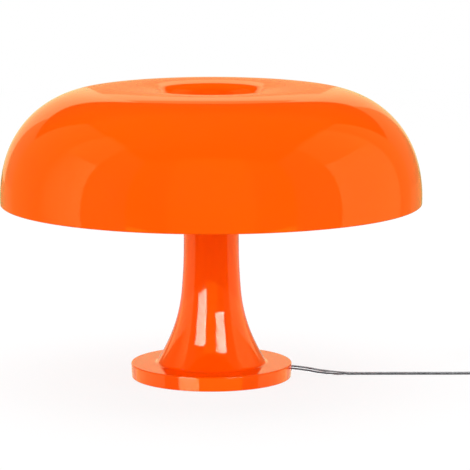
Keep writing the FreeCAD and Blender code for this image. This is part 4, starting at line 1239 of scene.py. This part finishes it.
def fills():
    """White tent of soft lamps that light every surface."""
    for name, place, width, height, radiance in (
        ("front", (0.0, -2.2, 1.2), 3.2, 1.8, 1.75),
        ("left", (-2.2, -0.2, 0.65), 3.0, 1.3, 2.3),
        ("right", (2.2, -0.2, 0.65), 3.0, 1.3, 2.3),
        ("rear", (0.0, 2.2, 0.9), 3.2, 1.8, 1.2),
        ("top", (0.0, 0.3, 2.0), 2.6, 2.2, 2.5),
    ):
        lamp("fill_" + name, place, FILL_AIM, width, height, radiance).visible_glossy = False


def bounce(column):
    """Low warm light on the column alone, as orange plastic all around throws it back."""
    made = lamp("bounce", BOUNCE_PLACE, BOUNCE_AIM, *BOUNCE_SIZE, BOUNCE_LEVEL, RUST)
    made.visible_glossy = False
    made.light_linking.receiver_collection = group("lit_bounce", [column])


def walls(orange, cap, others):
    """Sides of the tent; the shade and column mirror tinted ones and their image in the table."""
    wide = (-TENT_HALF, TENT_HALF)
    deep = (TABLE_DEEP, TABLE_EDGE)
    for name, azimuth, top, tint, wall, table, below in (
        ("front", 0.0, TENT_HIGH, AMBER, 0.45, 0.45, 2.0),
        ("left", -90.0, TENT_HIGH, DUSK, 0.45, 0.45, 0.5),
        ("right", 90.0, TENT_HIGH, DUSK, 0.45, 0.45, 0.5),
        ("rear", 180.0, REAR_HIGH, STRAW, 0.4, 0.5, 0.3),
    ):
        card("wall_" + name, azimuth, TENT_HALF, wide, (0.0, top), wall, tint, orange, orange)
        card("table_" + name, azimuth, TENT_HALF, wide, (TABLE_EDGE, 0.0), table, tint, cap, orange)
        card("below_" + name, azimuth, TENT_HALF, wide, deep, below, tint, orange, orange)
        card("tent_" + name, azimuth, TENT_HALF, wide, (-TENT_HIGH, TENT_HIGH), 1.0, WHITE, others, others)


def ceilings(orange, others):
    """Top of the tent, and its image below for the other pieces."""
    for name, height, level, tint, lit in (
        ("ceiling", TENT_HIGH, 0.12, AMBER, orange),
        ("tent_top", TENT_HIGH, 1.0, WHITE, others),
        ("tent_below", -TENT_HIGH, 1.0, WHITE, others),
    ):
        made = lamp(name, (0.0, 0.0, height), (0.0, 0.0, 0.0), 2 * TENT_HALF, 2 * TENT_HALF, level, tint)
        only_gloss(made, lit, lit)


def front_panels(orange, cap, stem):
    """Brighter middle of the front wall."""
    across = (-PANEL_HALF, PANEL_HALF)
    for name, tall, level, tint, lit in (
        ("front_middle", (0.0, TENT_HIGH), 0.3, AMBER, orange),
        ("table_middle", (TABLE_EDGE, 0.0), 0.3, AMBER, cap),
        ("front_stem", (0.0, TENT_HIGH), 0.45, YELLOW, stem),
    ):
        card(name, 0.0, TENT_HALF, across, tall, level, tint, lit, orange)


def softboxes(orange, cap, stem):
    """A softbox at each side that fades to one edge, with paper under it for the column."""
    for name, azimuth, across, level, first, last in (
        ("left", -90.0, (-0.25, 0.47), 1.7, 0.0, 1.0),
        ("right", 90.0, (-0.47, 0.7), 1.4, 1.0, 0.25),
    ):
        for part, tall, lit in (
            ("box_", (0.0, BOX_TOP), cap),
            ("box_table_", (BOX_MIRROR, 0.0), cap),
            ("box_stem_", (PAPER_TOP, BOX_TOP), stem),
        ):
            box = card(part + name, azimuth, BOX_AWAY, across, tall, level, SOFT, lit, orange)
            fade(box, first, last)
        card("box_over_" + name, azimuth, BOX_AWAY, across, (BOX_TOP, BOX_OVER), 0.4, DUSK, orange, orange)
    for name, azimuth, across in (("left", -90.0, (-1.5, 0.47)), ("right", 90.0, (-0.47, 1.5))):
        card("paper_" + name, azimuth, BOX_AWAY, across, (PAPER_LOW, PAPER_TOP), 1.2, PAPER, stem, orange)


def backdrop(orange, stem):
    """Pale rear wall that the crown and the base's top show, with a red patch low in its middle."""
    for name, across, tall, level, tint, lit in (
        ("left", (0.2, 1.0), (0.0, 1.0), 0.5, CREAM, orange),
        ("right", (-0.65, -0.2), (0.0, 1.0), 0.45, CREAM, orange),
        ("middle", (-0.2, 0.2), (0.56, 0.83), 0.42, CREAM, orange),
        ("low", (-0.2, 0.2), (0.0, 0.56), 0.5, EMBER, orange),
        ("stem", (-0.65, 1.0), (0.0, 0.83), 0.4, CREAM, stem),
        ("table", (-1.6, 1.6), (-0.8, 0.0), 0.7, PEACH, stem),
    ):
        card("backdrop_" + name, 180.0, BACKDROP_AWAY, across, tall, level, tint, lit, orange)


def windows(orange, stem):
    """Two bright windows on the camera's side that the stem shows, and one glint on the base's side."""
    for name, azimuth, across, tall, level in (
        ("left", -20.0, (-0.57, 0.035), (0.056, 0.745), 16.0),
        ("right", 20.0, (-0.09, 0.435), (0.258, 0.845), 18.0),
    ):
        pane = card("window_" + name, azimuth, WINDOW_AWAY, across, tall, level, PALE, stem, orange)
        fade(pane, WINDOW_FIRST, WINDOW_LAST)
    card("window_table", -30.0, GLINT_AWAY, (-0.175, 0.136), (-0.26, -0.09), 5.2, LEMON, stem, orange)


def reflections(shade, column):
    """What the gloss shows; none of it lights a surface."""
    orange = group("lit_orange", [shade, column])
    cap = group("lit_shade", [shade])
    stem = group("lit_column", [column])
    others = group("lit_others", [shade, column], False)
    walls(orange, cap, others)
    ceilings(orange, others)
    front_panels(orange, cap, stem)
    softboxes(orange, cap, stem)
    backdrop(orange, stem)
    windows(orange, stem)


def glow(tree, kind, strength):
    return add(tree, kind, {"Color": (1.0, 1.0, 1.0, 1.0), "Strength": strength}).outputs[0]


def blend_shaders(tree, share, first, second):
    return add(tree, "ShaderNodeMixShader", {0: share, 1: first, 2: second}).outputs[0]


def seen_white(tree):
    """1 on rays that show the background itself, to the camera and through clear parts."""
    path = add(tree, "ShaderNodeLightPath").outputs
    kinds = {0: path["Is Camera Ray"], 1: path["Is Transmission Ray"]}
    return add(tree, "ShaderNodeMath", kinds, operation="MAXIMUM").outputs[0]


def floor():
    """White table that keeps the shadow; in the gloss the tent stands in its place."""
    half = FLOOR_HALF
    corners = [(-half, -half, 0), (half, -half, 0), (half, half, 0), (-half, half, 0)]
    mesh = bpy.data.meshes.new("floor")
    mesh.from_pydata(corners, [], [(0, 1, 2, 3)])
    sheet = linked("floor", mesh)
    material, tree = blank_material("white_floor")
    share = add(tree, "ShaderNodeMath", {0: seen_white(tree), 1: FLOOR_GLOW}, operation="MULTIPLY")
    lit = add(tree, "ShaderNodeBsdfDiffuse", {"Color": FLOOR_COLOUR}).outputs[0]
    seen = blend_shaders(tree, share.outputs[0], lit, glow(tree, "ShaderNodeEmission", 1.0))
    add(tree, "ShaderNodeOutputMaterial", {"Surface": seen})
    mesh.materials.append(material)
    sheet.visible_glossy = False


def world():
    """Dim all round, and white where the background itself is seen."""
    made = bpy.data.worlds.new("studio")
    bpy.context.scene.world = made
    made.use_nodes = True
    tree = made.node_tree
    tree.nodes.clear()
    dim = glow(tree, "ShaderNodeBackground", WORLD_DIM)
    white = glow(tree, "ShaderNodeBackground", 1.0)
    seen = blend_shaders(tree, seen_white(tree), dim, white)
    add(tree, "ShaderNodeOutputWorld", {"Surface": seen})


def camera():
    """The photograph's view."""
    data = bpy.data.cameras.new("camera")
    data.lens = CAMERA_LENS
    data.sensor_width = CAMERA_SENSOR
    carrier = linked("camera", data)
    carrier.location = CAMERA_PLACE
    carrier.rotation_euler = (pi / 2 - CAMERA_TILT, 0.0, CAMERA_PAN)
    bpy.context.scene.camera = carrier


camera()
dress_nodes()
shade_body = shade_piece()
column_body = column_piece()
for each_side in ("left", "right"):
    bulb_pieces(each_side)
    holder_pieces(each_side)
cord_pieces()
inner_cord()
fills()
bounce(column_body)
reflections(shade_body, column_body)
floor()
world()
bpy.context.scene.view_settings.view_transform = "Standard"
